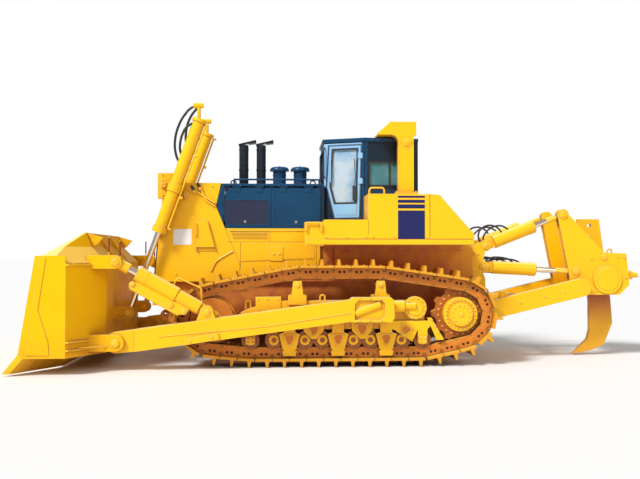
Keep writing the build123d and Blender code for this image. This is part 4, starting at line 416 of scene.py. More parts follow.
# Near-black discs on the links: painted shade of the bolt pockets
pocket_shade = metal("pocket", POCKET_SHADE, SOOT_AND_SHADE, rough=0.7)
spike_red = metal("spike_red", SPIKE_RED, SPIKE_SHADE, rough=0.5)
lamp_lens = metal("lamp", LAMP, WHITE.shade, rough=0.12)
SLOT_MATERIALS = {
    "yellow_paint": paint("yellow_paint", YELLOW, rough=0.30, shade_and_grime=0.80, reach=0.45),
    "blue_paint": paint("blue_paint", BLUE, rough=0.24, shade_and_grime=0.15),
    "light_blue_paint": paint("light_blue_paint", LIGHT_BLUE, rough=0.25, shade_and_grime=0.1),
    # Door glass: pale blue base, only partly clear: tint with painted reflection of the sky
    "glass": glass("cab_glass", GLASS_TINT_AND_REFLECTION, GLASS_PALE_AND_REFLECTION),
    "rod_chrome": chrome("rod_chrome"),
    "dark_metal": metal("dark_iron", IRON, IRON_SHADE, rough=0.5, shine=0.3),
    "seat_cloth": cloth("seat_cloth"),
    "worn_steel": metal("worn_steel", STEEL, STEEL_SHADE, rough=0.35, shine=0.8),
    "hose_rubber": rubber("hose_rubber"),
}
NODE_MATERIALS = {
    "track_left": chain_paint, "track_right": chain_paint, "track_rollers": roller_paint,
    "sprockets": sprocket_paint, "idlers": link_paint, "hull": hull_paint, "deck": hull_paint,
    "blade_centre": blade_paint, "blade_wing_left": blade_paint, "blade_wing_right": blade_paint,
    "ripper_shank": shank_paint, "ripper_point": shank_paint, "cab_shell": cab_paint,
    "exhaust_stacks": stack_paint, "cab_glass": glass("teal_glass", TEAL_TINT, TEAL_PALE),
}


def dress_nodes():
    """Give each solid the material of its slot, or one of its own."""
    for row in frame["record"]["subparts"]:
        skin = NODE_MATERIALS.get(row["node"], SLOT_MATERIALS[row["material_slot"]])
        shape = nodes[row["node"]]
        shape.data.materials.clear()
        shape.data.materials.append(skin)


# Mesh helpers
SHARP_ANGLE = 32.0
CORNER_STEPS = 5


def loft(mesh, rings):
    """Closed skin over rings of points of the same count."""
    rows = [[mesh.verts.new(point) for point in points] for points in rings]
    mesh.faces.new(rows[0][::-1])
    mesh.faces.new(rows[-1])
    for first, second in zip(rows, rows[1:]):
        for k in range(len(first)):
            j = (k + 1) % len(first)
            mesh.faces.new((first[k], first[j], second[j], second[k]))


def plate(mesh, outline, near, far):
    """Plate with an outline in X and Z, between two places along Y."""
    loft(mesh, [[(x, y, z) for x, z in outline] for y in (near, far)])


def box_outline(u0, u1, v0, v1):
    """Rectangle between two pairs of sides."""
    return [(u0, v0), (u1, v0), (u1, v1), (u0, v1)]


def slab(mesh, low, high):
    """Block between two corners."""
    plate(mesh, box_outline(low[0], high[0], low[2], high[2]), low[1], high[1])


def ring(spot, across, other, radius, sides):
    """Points round a spot, in the plane of two directions."""
    angles = [math.tau * k / sides for k in range(sides)]
    return [spot + (across * math.cos(a) + other * math.sin(a)) * radius for a in angles]


def circle(spot, way, radius, sides):
    """Points round a spot, across a direction."""
    way = Vector(way).normalized()
    across = way.orthogonal().normalized()
    return ring(Vector(spot), across, way.cross(across), radius, sides)


def drum(mesh, start, end, radius, sides=20, end_radius=None):
    """Round bar or cone between two points."""
    start, end = Vector(start), Vector(end)
    tip = radius if end_radius is None else end_radius
    loft(mesh, [circle(start, end - start, radius, sides), circle(end, end - start, tip, sides)])


def bolt(mesh, spot, way, size):
    """Hexagon head on a washer."""
    spot, way = Vector(spot), Vector(way).normalized() * size
    drum(mesh, spot - way * 0.1, spot + way * 0.14, size * 0.75, 12)
    drum(mesh, spot + way * 0.1, spot + way * 0.6, size * 0.52, 6)


def side_bolts(mesh, spots, y, size):
    """Bolts that look to the left, at places in X and Z."""
    for x, z in spots:
        bolt(mesh, (x, y, z), LEFT, size)


def bolt_ring(mesh, spot, way, radius, count, size):
    """Bolts on a circle."""
    for point in circle(spot, way, radius, count):
        bolt(mesh, point, way, size)


def cap(mesh, spot, way, radius, height, bolts=0):
    """Stepped round cover, with bolts on its rim."""
    spot, way = Vector(spot), Vector(way).normalized() * height
    drum(mesh, spot - way * 0.1, spot + way * 0.6, radius, 28)
    drum(mesh, spot + way * 0.5, spot + way, radius * 0.62, 24, radius * 0.55)
    if bolts:
        bolt_ring(mesh, spot + way * 0.6, way, radius * 0.8, bolts, radius * 0.2)


def rounded(points, corner):
    """The points with each corner replaced by a short curve."""
    points = [Vector(point) for point in points]
    path = [points[0]]
    for a, b, c in zip(points, points[1:], points[2:]):
        reach = min(corner, (a - b).length / 2, (c - b).length / 2)
        start, end = b + (a - b).normalized() * reach, b + (c - b).normalized() * reach
        for step in range(CORNER_STEPS + 1):
            t = step / CORNER_STEPS
            path.append(start * (1 - t) ** 2 + b * 2 * t * (1 - t) + end * t ** 2)
    return path + [points[-1]]


def tube(mesh, points, radius, corner=0.05, sides=10):
    """Stiff round bar along straight runs with rounded corners."""
    path = rounded(points, corner)
    rings = []
    across = (path[1] - path[0]).orthogonal().normalized()
    for k, spot in enumerate(path):
        way = (path[min(k + 1, len(path) - 1)] - path[max(k - 1, 0)]).normalized()
        across = (across - way * across.dot(way)).normalized()
        rings.append(ring(spot, across, way.cross(across), radius, sides))
    loft(mesh, rings)


def staple(mesh, start, end, rise, radius, corner, sides=10):
    """Round bar that stands out from one foot, crosses over and comes back to the other."""
    start, end = Vector(start), Vector(end)
    tube(mesh, [start, start + rise, end + rise, end], radius, corner, sides)


def inset(outline, distance):
    """Outline moved inward by a distance, for an outline with no hollow corners."""
    middle = sum((Vector(point) for point in outline), Vector((0, 0))) / len(outline)
    lines = []
    for first, second in zip(outline, outline[1:] + outline[:1]):
        a, b = Vector(first), Vector(second)
        across = Vector((a.y - b.y, b.x - a.x)).normalized()
        if across.dot(middle - a) < 0:
            across = -across
        lines.append((a + across * distance, b - a))
    moved = []
    for (p, d), (q, e) in zip(lines[-1:] + lines[:-1], lines):
        share = ((q - p).x * e.y - (q - p).y * e.x) / (d.x * e.y - d.y * e.x)
        moved.append(tuple(p + d * share))
    return moved


def band(mesh, outline, width, lift):
    """Raised border inside an outline; lift places outline points at two levels."""
    inner = inset(outline, width)
    count = len(outline)
    for k in range(count):
        j = (k + 1) % count
        strip = [outline[k], outline[j], inner[j], inner[k]]
        loft(mesh, [[lift(u, v, level) for u, v in strip] for level in (0, 1)])


def on_side(near, far):
    """Rule that lifts X and Z points from one Y to another."""
    return lambda x, z, level: (x, far if level else near, z)


TREES = {}


def touch(name, start, way):
    """Place and outward normal where a line of sight meets a solid."""
    if name not in TREES:
        data = nodes[name].data
        corners = [vert.co for vert in data.vertices]
        TREES[name] = BVHTree.FromPolygons(corners, [face.vertices for face in data.polygons])
    spot, normal, _, _ = TREES[name].ray_cast(Vector(start), Vector(way).normalized())
    return spot, normal


def left_face(name, spot, start):
    """Place on a solid's left face at a spot in X and Z, seen from a start along Y."""
    return touch(name, (spot[0], start, spot[1]), -LEFT)[0]


def face_bolts(mesh, name, spots, start, size):
    """Bolts on a solid's left face."""
    for spot in spots:
        bolt(mesh, left_face(name, spot, start), LEFT, size)


def piece(name, mesh, body="tractor", slot="yellow_paint", skin=None, side=0):
    """Make a mesh a piece of a body: 1 as built on the left, -1 mirrored, 0 on both sides."""
    if side == 0:
        twin = bmesh.ops.duplicate(mesh, geom=mesh.verts[:] + mesh.edges[:] + mesh.faces[:])["geom"]
        flip = [item for item in twin if isinstance(item, bmesh.types.BMVert)]
    else:
        flip = mesh.verts[:] if side < 0 else []
    for vert in flip:
        vert.co.y = -vert.co.y
    bmesh.ops.recalc_face_normals(mesh, faces=mesh.faces[:])
    for face in mesh.faces:
        face.smooth = True
    for edge in mesh.edges:
        edge.smooth = edge.calc_face_angle(math.pi) < math.radians(SHARP_ANGLE)
    data = bpy.data.meshes.new(name)
    mesh.to_mesh(data)
    mesh.free()
    data.materials.append(skin or SLOT_MATERIALS[slot])
    made = bpy.data.objects.new(name, data)
    bpy.context.scene.collection.objects.link(made)
    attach(made, body)
    return made


# Track chain: link plates, pin ends, bolt pockets and shoe bolts. The belt is circles in X and Z.
BELT = [
    (min(ROLLER_X), ROLLER_Z, ROLLER_RADIUS + LINK_IN),
    (max(ROLLER_X), ROLLER_Z, ROLLER_RADIUS + LINK_IN),
    (*IDLER, PIN_CIRCLE),
    (CARRIER_X[0], CARRIER_Z, CARRIER_RADIUS + LINK_IN),
    (CARRIER_X[1], CARRIER_Z, CARRIER_RADIUS + LINK_IN),
    (*SPROCKET, PIN_CIRCLE),
]
LINK_PROUD = 0.007
LINK_PLATE = [(0.02, -0.05), (0.05, -0.078), (0.26, -0.078), (0.295, -0.05), (0.295, 0.06), (0.265, 0.112),
              (0.05, 0.112), (0.02, 0.06)]
POCKETS = ((0.115, 0.045), (0.2, 0.045))
POCKET_RADIUS = 0.026
POCKET_PROUD = LINK_PROUD + 0.0015
PIN_END = 0.048
PIN_PROUD = LINK_PROUD + 0.004
SHOE_BOLTS = [(u, v) for u in (0.175, 0.255) for v in (-0.2, -0.1, 0.1, 0.2)]
SHOE_BOLT = 0.028


def belt_normal(first, second):
    """Outward normal of the straight run that touches two circles."""
    dx, dz = second[0] - first[0], second[1] - first[1]
    length = math.hypot(dx, dz)
    lean = (first[2] - second[2]) / length
    rest = math.sqrt(1 - lean * lean)
    ux, uz = dx / length, dz / length
    return lean * ux + rest * uz, lean * uz - rest * ux


def belt_pins():
    """Chain pin places in X and Z, equally spaced along the belt."""
    runs = []
    for k, wheel in enumerate(BELT):
        after = BELT[(k + 1) % len(BELT)]
        n_in, n_out = belt_normal(BELT[k - 1], wheel), belt_normal(wheel, after)
        start = math.atan2(n_in[1], n_in[0])
        turn = (math.atan2(n_out[1], n_out[0]) - start) % math.tau
        runs.append((turn * wheel[2], wheel, start, None))
        a, b = ((x + n_out[0] * radius, z + n_out[1] * radius) for x, z, radius in (wheel, after))
        runs.append((math.dist(a, b), a, None, b))
    pitch = sum(run[0] for run in runs) / SHOE_COUNT
    pins = []
    for k in range(SHOE_COUNT):
        rest = k * pitch
        for length, a, start, b in runs:
            if rest <= length:
                break
            rest -= length
        if b:
            pins.append(Vector(a).lerp(Vector(b), rest / length))
        else:
            angle = start + rest / a[2]
            pins.append(Vector((a[0] + a[2] * math.cos(angle), a[1] + a[2] * math.sin(angle))))
    return pins


def dress_tracks():
    """Link plates, pin ends and shoe bolts, with dark discs in the links as painted shade of their bolt
    pockets.
    """
    links, pockets = bmesh.new(), bmesh.new()
    pins = belt_pins()
    for pin, after in zip(pins, pins[1:] + pins[:1]):
        along = (after - pin).normalized()
        out = Vector((along.y, -along.x))
        spot = lambda u, v: tuple(pin + along * u + out * v)
        outline = [spot(u, v) for u, v in LINK_PLATE]
        plate(links, outline, CHAIN_FACE - LINK_PROUD, CHAIN_FACE + LINK_PROUD)
        drum(links, (pin.x, CHAIN_FACE, pin.y), (pin.x, CHAIN_FACE + PIN_PROUD, pin.y), PIN_END, 18)
        for u, v in POCKETS:
            x, z = spot(u, v)
            drum(pockets, (x, CHAIN_FACE, z), (x, CHAIN_FACE + POCKET_PROUD, z), POCKET_RADIUS, 14)
        for u, v in SHOE_BOLTS:
            x, z = spot(u, SHOE_TOP)
            bolt(links, (x, TRACK_Y + v, z), (out.x, 0, out.y), SHOE_BOLT)
    piece("track_links", links, skin=link_paint)
    piece("track_link_pockets", pockets, "tractor", "dark_metal", pocket_shade)


# Undercarriage hardware: covers as outlines with bolts, rings of bolts, and single bolts in X and Z
TRIANGLE = [(-0.125, 0.10), (-0.10, 0.125), (0.10, 0.125), (0.125, 0.10), (0.03, -0.12), (-0.03, -0.12)]
TRIANGLE_BOLTS = ((-0.085, 0.09), (0.085, 0.09), (0.0, -0.08))
COVER_SPOTS = ((1.2025, 0.495, 0.95), (0.300, 0.495, 0.95), (-0.600, 0.495, 0.95), (0.7525, 0.685, 1.0),
               (-0.150, 0.685, 1.0))
REAR_TRIANGLE = [(-0.875, 0.775), (-0.900, 0.800), (-0.955, 0.790), (-1.120, 0.710), (-1.120, 0.680),
                 (-0.955, 0.590), (-0.890, 0.595), (-0.875, 0.620)]
REAR_BOLTS = ((-0.920, 0.755), (-1.065, 0.695), (-0.920, 0.640))
COVER_RIM = 0.020
COVER_PROUD = 0.014
PANEL_PROUD = 0.006
BLOCK_HALF = 0.075
BLOCK_Z = (0.425, 0.565)
BLOCK_FACE = COVER_FACE + 0.03
BLOCK_BOLTS = [(x, z) for x in (-0.045, 0.045) for z in (0.53, 0.46)]
CARRIER_BOLT_X = (-0.13, 0.13)
CARRIER_BOLT_Z = 1.33
SIDE_RINGS = (
    # Middle in X and Z, face along Y, circle, count and bolt size
    (SPROCKET, TRACK_Y + 0.24, 0.272, 24, 0.036), (SPROCKET, TRACK_Y + 0.30, 0.165, 12, 0.026),
    (SPROCKET, TRACK_Y + 0.06, 0.390, 22, 0.030), (PIVOT_CAP, PIVOT_CAP_FACE, 0.178, 12, 0.032),
    (IDLER, TRACK_Y + 0.247, 0.145, 8, 0.032),
)
FRAME_BOLTS = [(x, z) for x in (1.42, 1.60, 1.77) for z in (1.05, 1.25)]
GUARD_BOLTS = ((-1.46, 0.86), (-1.52, 0.74), (-1.58, 0.62))
FRAME_LOOPS = ((2.02, 1.07), (0.62, 1.17))


def triangle_cover(mesh, panels, outline, bolts):
    """Raised border and sunk panel of a bolted cover on a hanger plate."""
    plate(panels, inset(outline, 0.012), COVER_FACE - 0.002, COVER_FACE + PANEL_PROUD)
    band(mesh, outline, COVER_RIM, on_side(COVER_FACE, COVER_FACE + COVER_PROUD))
    side_bolts(mesh, bolts, COVER_FACE + PANEL_PROUD, 0.032)


def dress_undercarriage():
    """Bolted covers, roller caps, hub and pivot bolts."""
    parts, panels = bmesh.new(), bmesh.new()
    for x, z, scale in COVER_SPOTS:
        place_at = lambda points: [(x + u * scale, z + v * scale) for u, v in points]
        triangle_cover(parts, panels, place_at(TRIANGLE), place_at(TRIANGLE_BOLTS))
    triangle_cover(parts, panels, REAR_TRIANGLE, REAR_BOLTS)
    piece("cover_panels", panels, skin=link_paint)
    for x in ROLLER_X:
        spot = Vector((x, ROLLER_FACE, ROLLER_Z))
        drum(parts, spot, spot + LEFT * 0.008, 0.095, 24)
        bolt_ring(parts, spot + LEFT * 0.002, LEFT, 0.125, 6, 0.014)
    for x in (min(ROLLER_X), max(ROLLER_X)):
        plate(parts, box_outline(x - BLOCK_HALF, x + BLOCK_HALF, *BLOCK_Z), COVER_FACE - 0.005, BLOCK_FACE)
        side_bolts(parts, [(x + u, z) for u, z in BLOCK_BOLTS], BLOCK_FACE, 0.03)
    for x in CARRIER_X:
        cap(parts, (x, CHAIN_FACE + 0.057, CARRIER_Z), LEFT, 0.052, 0.03)
        for u in CARRIER_BOLT_X:
            bolt(parts, (x + u, CHAIN_FACE + 0.045, CARRIER_BOLT_Z), UP, 0.03)
    for (x, z), y, radius, count, size in SIDE_RINGS:
        bolt_ring(parts, (x, y, z), LEFT, radius, count, size)
    cap(parts, (SPROCKET[0], TRACK_Y + 0.30, SPROCKET[1]), LEFT, 0.05, 0.02)
    pivot = Vector((PIVOT_CAP[0], PIVOT_CAP_FACE, PIVOT_CAP[1]))
    drum(parts, pivot - LEFT * 0.03, pivot + LEFT * 0.012, 0.14, 32)
    side_bolts(parts, FRAME_BOLTS, TRACK_Y + 0.215, 0.026)
    side_bolts(parts, GUARD_BOLTS, COVER_FACE, 0.03)
    for x, z in FRAME_LOOPS:
        staple(parts, (x, TRACK_Y, z), (x - 0.09, TRACK_Y, z), UP * 0.15, 0.018, 0.04)
    piece("undercarriage_hardware", parts)


# Push arms and blade: points in X and Z
ARM_RIDGE = ((3.55, 0.62), (1.60, 0.80), (0.10, 1.03))
ARM_LOOP = ((3.308, 0.90), (3.308, 1.56), (3.237, 1.66), (2.814, 1.47), (2.801, 1.0))
ARM_LOOP_Y = ARM_Y - 0.17
ARM_BOLTS = ((2.98, 0.545), (2.60, 0.61))
TRUNNION_BOLTS = [(x, z) for x in (-0.45, -0.25, -0.05) for z in (0.89, 1.285)]
ARM_VIEW = 3.0
WING_VIEW = 2.55
EDGE_BOLTS = [(0.12 + 0.24 * k, z) for k in range(9) for z in (0.15, 0.26)]
WING_BEAD_Y = (1.70, 2.05, 2.40)
WING_BEAD_Z = (1.935, 0.60, 0.46)
SPIKE_Y = ARM_Y + 0.102
SPIKES = ((PITCH_EYE[0] + 0.105, 2.400), (PITCH_EYE[0] - 0.090, 2.330))


def dress_push_arms():
    """Pin caps, seam ridge, lifting loop and bolts on the arms."""
    parts = bmesh.new()
    tube(parts, [(x, ARM_OUT + 0.004, z) for x, z in ARM_RIDGE], 0.010, 0.10, 8)
    cap(parts, left_face("push_arm_left", PITCH_BASE, ARM_VIEW), LEFT, 0.075, 0.025, 3)
    face_bolts(parts, "push_arm_left", ARM_BOLTS, ARM_VIEW, 0.036)
    tube(parts, [(x, ARM_LOOP_Y, z) for x, z in ARM_LOOP], 0.016)
    face_bolts(parts, "push_arm_left", TRUNNION_BOLTS, ARM_VIEW, 0.028)
    piece("push_arm_hardware", parts, "push_frame")


def dress_blade():
    """Bolts of the cutting edges, pin caps, weld beads and marker spikes."""
    parts = bmesh.new()
    for y, z in EDGE_BOLTS:
        bolt(parts, *touch("cutting_edges", (8.0, y, z), -FRONT), 0.036)
    for spot in (BLADE_PIN, PITCH_EYE):
        cap(parts, left_face("blade_wing_left", spot, WING_VIEW), LEFT, 0.078, 0.028, 4)
    for way in (-LEFT, LEFT):
        start = Vector((LIFT_EYE[0], LIFT_Y, LIFT_EYE[1])) + way * 0.5
        cap(parts, touch("blade_centre", start, -way)[0], way, 0.06, 0.024, 3)
    for z in WING_BEAD_Z:
        points = [touch("blade_wing_left", (4.0, y, z), FRONT)[0] for y in WING_BEAD_Y]
        tube(parts, points, 0.009, 0.05, 6)
    piece("blade_hardware", parts, "blade")
    marks = bmesh.new()
    for x, top in SPIKES:
        drum(marks, (x, SPIKE_Y, top - 0.27), (x, SPIKE_Y, top - 0.02), 0.0155, 10, 0.0145)
        drum(marks, (x, SPIKE_Y, top - 0.022), (x, SPIKE_Y, top + 0.003), 0.0145, 10, 0.006)
    piece("blade_markers", marks, "blade", "dark_metal", spike_red)


# Cylinders: distances along each axis and to its side
PITCH_GUARD = [(0.30, -0.10), (1.18, -0.10), (1.42, -0.15), (1.46, -0.21), (1.42, -0.285), (0.42, -0.285),
               (0.30, -0.21)]
PITCH_GUARD_Y = (ARM_Y + 0.030, ARM_Y + 0.080)
PITCH_TUBE = ((0.42, -0.275), (1.40, -0.275))
PITCH_CAPS = ((0.36, -0.195), (0.62, -0.195), (1.40, -0.195))
RIPPER_CYLINDERS = {
    # Base, eye, end of the barrel, and the reach of the sleeve on the rod
    "tilt": (TILT_BASE, TILT_EYE, 1.09, (1.37, 1.58)),
    "lift": (RAISE_BASE, RAISE_EYE, 1.08, (1.50, 1.82)),
}


def beside(start, end, distance, side=0.0):
    """Point in X and Z at a distance along an axis, moved to its left."""
    a = Vector(start)
    way = (Vector(end) - a).normalized()
    return a + way * distance + Vector((-way.y, way.x)) * side


def end_bolts(mesh, start, end, distance, y, radius, count, size):
    """Bolts on the end face of a cylinder, pointing along its axis."""
    spot = beside(start, end, distance)
    way = Vector(end) - Vector(start)
    bolt_ring(mesh, (spot.x, y, spot.y), (way.x, 0, way.y), radius, count, size)


def pipe_beside(mesh, start, end, reach, y, side, radius, lift):
    """Steel pipe along a barrel, held by two clamps, with its ends turned in."""
    a, b = (beside(start, end, distance, side) for distance in reach)
    a_in, b_in = (beside(start, end, distance, side - lift) for distance in reach)
    tube(mesh, [(spot.x, y, spot.y) for spot in (a_in, a, b, b_in)], radius)
    for share in (0.3, 0.7):
        c = a.lerp(b, share)
        d = a_in.lerp(b_in, share)
        drum(mesh, (d.x, y, d.y), (c.x, y, c.y), radius * 1.5, 8)


def collar(mesh, start, end, y, reach, radius, bore):
    """Ring round a cylinder's axis, between two distances from its start."""
    outline = [tuple(point) for point in ring(Vector((0, 0)), Vector((1, 0)), Vector((0, 1)), radius, 32)]

    def lift(u, v, level):
        spot = beside(start, end, reach[level], u)
        return Vector((spot.x, y + v, spot.y))

    band(mesh, outline, radius - bore, lift)


def dress_blade_cylinders():
    """Pipes and gland bolts of the lift cylinders, guard, collar and sleeve of the pitch cylinders."""
    lift = bmesh.new()
    length = math.dist(LIFT_PIVOT, LIFT_EYE)
    end_bolts(lift, LIFT_EYE, LIFT_PIVOT, length - 0.802, LIFT_Y, 0.126, 8, 0.022)
    end_bolts(lift, LIFT_PIVOT, LIFT_EYE, 0.0235 * length - 1.415, LIFT_Y, 0.13, 8, 0.02)
    reach = (-0.53 * length, 0.31 * length)
    pipe_beside(lift, LIFT_PIVOT, LIFT_EYE, reach, LIFT_Y + 0.05, -0.150, 0.020, 0.06)
    piece("lift_cylinder_pipes", lift, "lift_barrels")
    pitch = bmesh.new()
    length = math.dist(PITCH_BASE, PITCH_EYE)
    along = lambda points: [tuple(beside(PITCH_BASE, PITCH_EYE, u, v)) for u, v in points]
    end_bolts(pitch, PITCH_BASE, PITCH_EYE, 1.23, ARM_Y, 0.115, 10, 0.026)
    end_bolts(pitch, PITCH_EYE, PITCH_BASE, length - 0.62, ARM_Y, 0.134, 8, 0.016)
    collar(pitch, PITCH_BASE, PITCH_EYE, ARM_Y, (1.22, 1.42), 0.150, 0.076)
    plate(pitch, along(PITCH_GUARD), *PITCH_GUARD_Y)
    tube(pitch, [(x, sum(PITCH_GUARD_Y) / 2, z) for x, z in along(PITCH_TUBE)], 0.034)
    for x, z in along(PITCH_CAPS):
        cap(pitch, (x, PITCH_GUARD_Y[1], z), LEFT, 0.050, 0.030)
    piece("pitch_cylinder_bolts", pitch, "pitch_barrels")
    rods = bmesh.new()
    collar(rods, PITCH_BASE, PITCH_EYE, ARM_Y, (1.585, 1.77), 0.100, 0.0705)
    piece("pitch_rod_sleeves", rods, "pitch_rods")


def dress_ripper_cylinders():
    """Gland with bolts on each ripper barrel, and a sleeve on its rod."""
    for name, (base, eye, barrel_end, sleeve) in RIPPER_CYLINDERS.items():
        parts, rods = bmesh.new(), bmesh.new()
        end_bolts(parts, base, eye, barrel_end, RIPPER_Y, 0.102, 10, 0.024)
        a, b = (beside(base, eye, barrel_end + step) for step in (-0.13, -0.01))
        drum(parts, (a.x, RIPPER_Y, a.y), (b.x, RIPPER_Y, b.y), 0.136, 32)
        piece("ripper_" + name + "_glands", parts, "ripper_" + name + "_barrels")
        collar(rods, base, eye, RIPPER_Y, sleeve, 0.058, 0.0525)
        piece("ripper_" + name + "_sleeves", rods, "ripper_" + name + "_rods")


# Radiator guard: points in X and Z, and faces along Y
SIGN = box_outline(3.455, 3.097, 2.585, 2.277)
YOKE_SPOTS = ((3.632, 3.442), (3.206, 3.258))
YOKE_FACE = 0.850
COLUMN_BOLTS = [(3.665, z) for z in (3.24, 3.38, 3.52, 3.64)]
PANEL_BOLTS = ((3.70, 1.60), (3.64, 2.20), (3.60, 2.80), (2.70, 3.42), (3.00, 3.42), (3.40, 1.70))
SIDE_PIPE = ((2.30, 2.152), (2.631, 1.962), (2.722, 1.755))
LIFT_PIPES = (((2.933, 3.404), (2.836, 3.152), (2.645, 3.03)),
              ((3.049, 3.345), (2.886, 3.242), (2.645, 3.09)))
LIFT_PIPE_Y = GUARD_FACE + 0.022
LIFT_SLEEVES = (((2.993, 3.48), (2.963, 3.44), (2.933, 3.40)),
                ((3.109, 3.43), (3.079, 3.39), (3.049, 3.34)))
GRIP_Y = GUARD_FACE + 0.06
EDGE_HOSE_Z = (2.70, 2.40, 2.05, 1.70)
FIN_Y = [-0.55 + k * 0.05 for k in range(23)]


def dress_guard():
    """Blank sign plate, yoke bolts, pipes and bolts on the guard, fins in the grille."""
    sign = bmesh.new()
    plate(sign, SIGN, GUARD_FACE - 0.001, GUARD_FACE + 0.004)
    side_bolts(sign, inset(SIGN, 0.02), GUARD_FACE + 0.004, 0.010)
    piece("sign_plates", sign, "tractor", "worn_steel", white_plate)
    parts = bmesh.new()
    for x, z in YOKE_SPOTS:
        bolt_ring(parts, (x, YOKE_FACE, z), LEFT, 0.036, 4, 0.026)
    side_bolts(parts, COLUMN_BOLTS, GUARD_FACE + 0.015, 0.03)
    tube(parts, [(x, GUARD_FACE + 0.012, z) for x, z in SIDE_PIPE], 0.016, 0.12)
    for route in LIFT_PIPES:
        tube(parts, [(x, LIFT_PIPE_Y, z) for x, z in route], 0.020, 0.08)
        cap(parts, (route[0][0], GUARD_FACE + 0.03, route[0][1] - 0.03), LEFT, 0.034, 0.03)
    staple(parts, (3.014, GRIP_Y, 2.70), (3.014, GRIP_Y, 2.45), LEFT * 0.04, 0.012, 0.02)
    side_bolts(parts, PANEL_BOLTS, GUARD_FACE, 0.028)
    piece("guard_hardware", parts)
    hoses = bmesh.new()
    for route in LIFT_SLEEVES:
        tube(hoses, [(x, LIFT_PIPE_Y, z) for x, z in route], 0.022)
    edge = [touch("radiator_guard", (6.0, 0.72, z), -FRONT)[0] for z in EDGE_HOSE_Z]
    tube(hoses, [spot + FRONT * 0.012 for spot in edge], 0.018, 0.10)
    piece("guard_sleeves", hoses, "tractor", "hose_rubber")
    core = bmesh.new()
    for y in FIN_Y:
        slab(core, (3.488, y - 0.006, 1.74), (3.505, y + 0.006, 3.31))
    piece("grille_fins", core, "tractor", "dark_metal", side=1)


# Engine doors: outlines and latches in X and Z
SCREEN = [(2.47, 3.156), (2.47, 2.90), (2.40, 2.668), (1.60, 2.668), (1.60, 3.156)]
REAR_PANEL = [(1.50, 3.34), (1.50, 2.66), (0.64, 2.66), (0.64, 3.34)]
LATCHES = {"front": (2.061, 2.734), "rear": (1.061, 2.728)}
SIDES = ((1, "left"), (-1, "right"))


def dress_engine_doors():
    """Screen, border and latch of each engine door."""
    near = GUARD_FACE - 0.001
    for side, label in SIDES:
        for end, (x, z) in LATCHES.items():
            body = "engine_door_" + end + "_" + label
            parts, lock = bmesh.new(), bmesh.new()
            if end == "front":
                sheet = bmesh.new()
                plate(sheet, SCREEN, near, GUARD_FACE + 0.002)
                piece("door_screen_" + label, sheet, body, "blue_paint", screen("screen_" + label), side)
                band(parts, inset(SCREEN, -0.02), 0.024, on_side(near, GUARD_FACE + 0.009))
            else:
                band(parts, REAR_PANEL, 0.018, on_side(near, GUARD_FACE + 0.005))
            piece("door_border_" + end + "_" + label, parts, body, "blue_paint", side=side)
            cap(lock, (x, GUARD_FACE, z), LEFT, 0.026, 0.016)
            piece("door_latch_" + end + "_" + label, lock, body, "rod_chrome", side=side)


# Body sides: seams as points in X and Z with a width, plates and bolts in X and Z
GUARD_SEAMS = (
    ((2.40, 2.335), (0.62, 2.335)), ((2.146, 2.335), (2.146, 1.84)),
    ((1.572, 2.335), (1.572, 2.53), (2.36, 2.53)), ((1.595, 2.26), (1.29, 2.26), (1.29, 1.93)),
    ((0.66, 2.58), (0.66, 1.80)), ((2.146, 1.945), (0.70, 1.995)),
)
FENDER_SEAMS = (
    (((-0.263, 2.46), (-0.263, 2.735)), 0.007), (((-1.412, 2.40), (-1.412, 3.20)), 0.012),
    (((0.56, 2.375), (-2.22, 2.375)), 0.010),
)
LOUVRES = [((1.62, z), (2.28 + (z - 2.385) * 0.37, z)) for z in (2.405, 2.430, 2.455, 2.480, 2.505)]
DOOR_FILLER = [(2.460, 2.660), (2.466, 2.660), (2.622, 3.040), (2.535, 3.430), (2.460, 3.430)]
LOUVRE_PLATE = [(2.34, 2.52), (1.60, 2.52), (1.60, 2.385), (2.29, 2.385)]
ACCESS_PLATE = [(2.13, 2.32), (0.70, 2.32), (0.70, 2.01), (2.13, 1.96)]
CLOSING_BOLTS = [(0.44, z) for z in (1.72, 1.95, 2.18)]
FENDER_BOLTS = [(x, 2.41) for x in (0.52, 0.14, -0.22, -0.35, -0.75, -1.36)]
STEP_BAR_X = [0.60 + k * 0.045 for k in range(7)]
BOX_BAR_X = [-0.20 + k * 0.065 for k in range(11)]
STRIPE_X = (-1.318, -0.812)
STRIPES = ((3.143, 3.182), (3.048, 3.106), (2.944, 3.020), (2.376, 2.907))


def seam_line(mesh, points, face, width=0.007):
    """Thin dark line on a side face, between points in X and Z."""
    for first, second in zip(points, points[1:]):
        a, b = Vector(first), Vector(second)
        way = (b - a).normalized()
        across = Vector((-way.y, way.x)) * width / 2
        corners = [tuple(c) for c in (a - across, b - across, b + across, a + across)]
        plate(mesh, corners, face - 0.001, face + 0.0012)


def dress_seams():
    """Panel seams and louvres, filler plates beside the doors and closing plates on the hull."""
    lines = bmesh.new()
    for points in GUARD_SEAMS:
        seam_line(lines, points, GUARD_FACE)
    for points in LOUVRES:
        seam_line(lines, points, GUARD_FACE + 0.004, 0.009)
    for points, width in FENDER_SEAMS:
        seam_line(lines, points, FENDER_FACE, width)
    piece("panel_seams", lines, "tractor", "dark_metal", seam_dark)
    filler = bmesh.new()
    plate(filler, DOOR_FILLER, GUARD_FACE - 0.045, GUARD_FACE - 0.003)
    plate(filler, inset(DOOR_FILLER, 0.012), GUARD_FACE - 0.004, GUARD_FACE)
    piece("hood_fillers", filler, "tractor", "blue_paint")
    closing = bmesh.new()
    slab(closing, (0.285, 0.655, 1.63), (0.600, 0.700, 2.262))
    slab(closing, (-2.22, 0.750, 2.19), (0.285, 0.790, 2.300))
    side_bolts(closing, CLOSING_BOLTS, 0.700, 0.03)
    piece("hull_closing_plates", closing, skin=hull_paint)


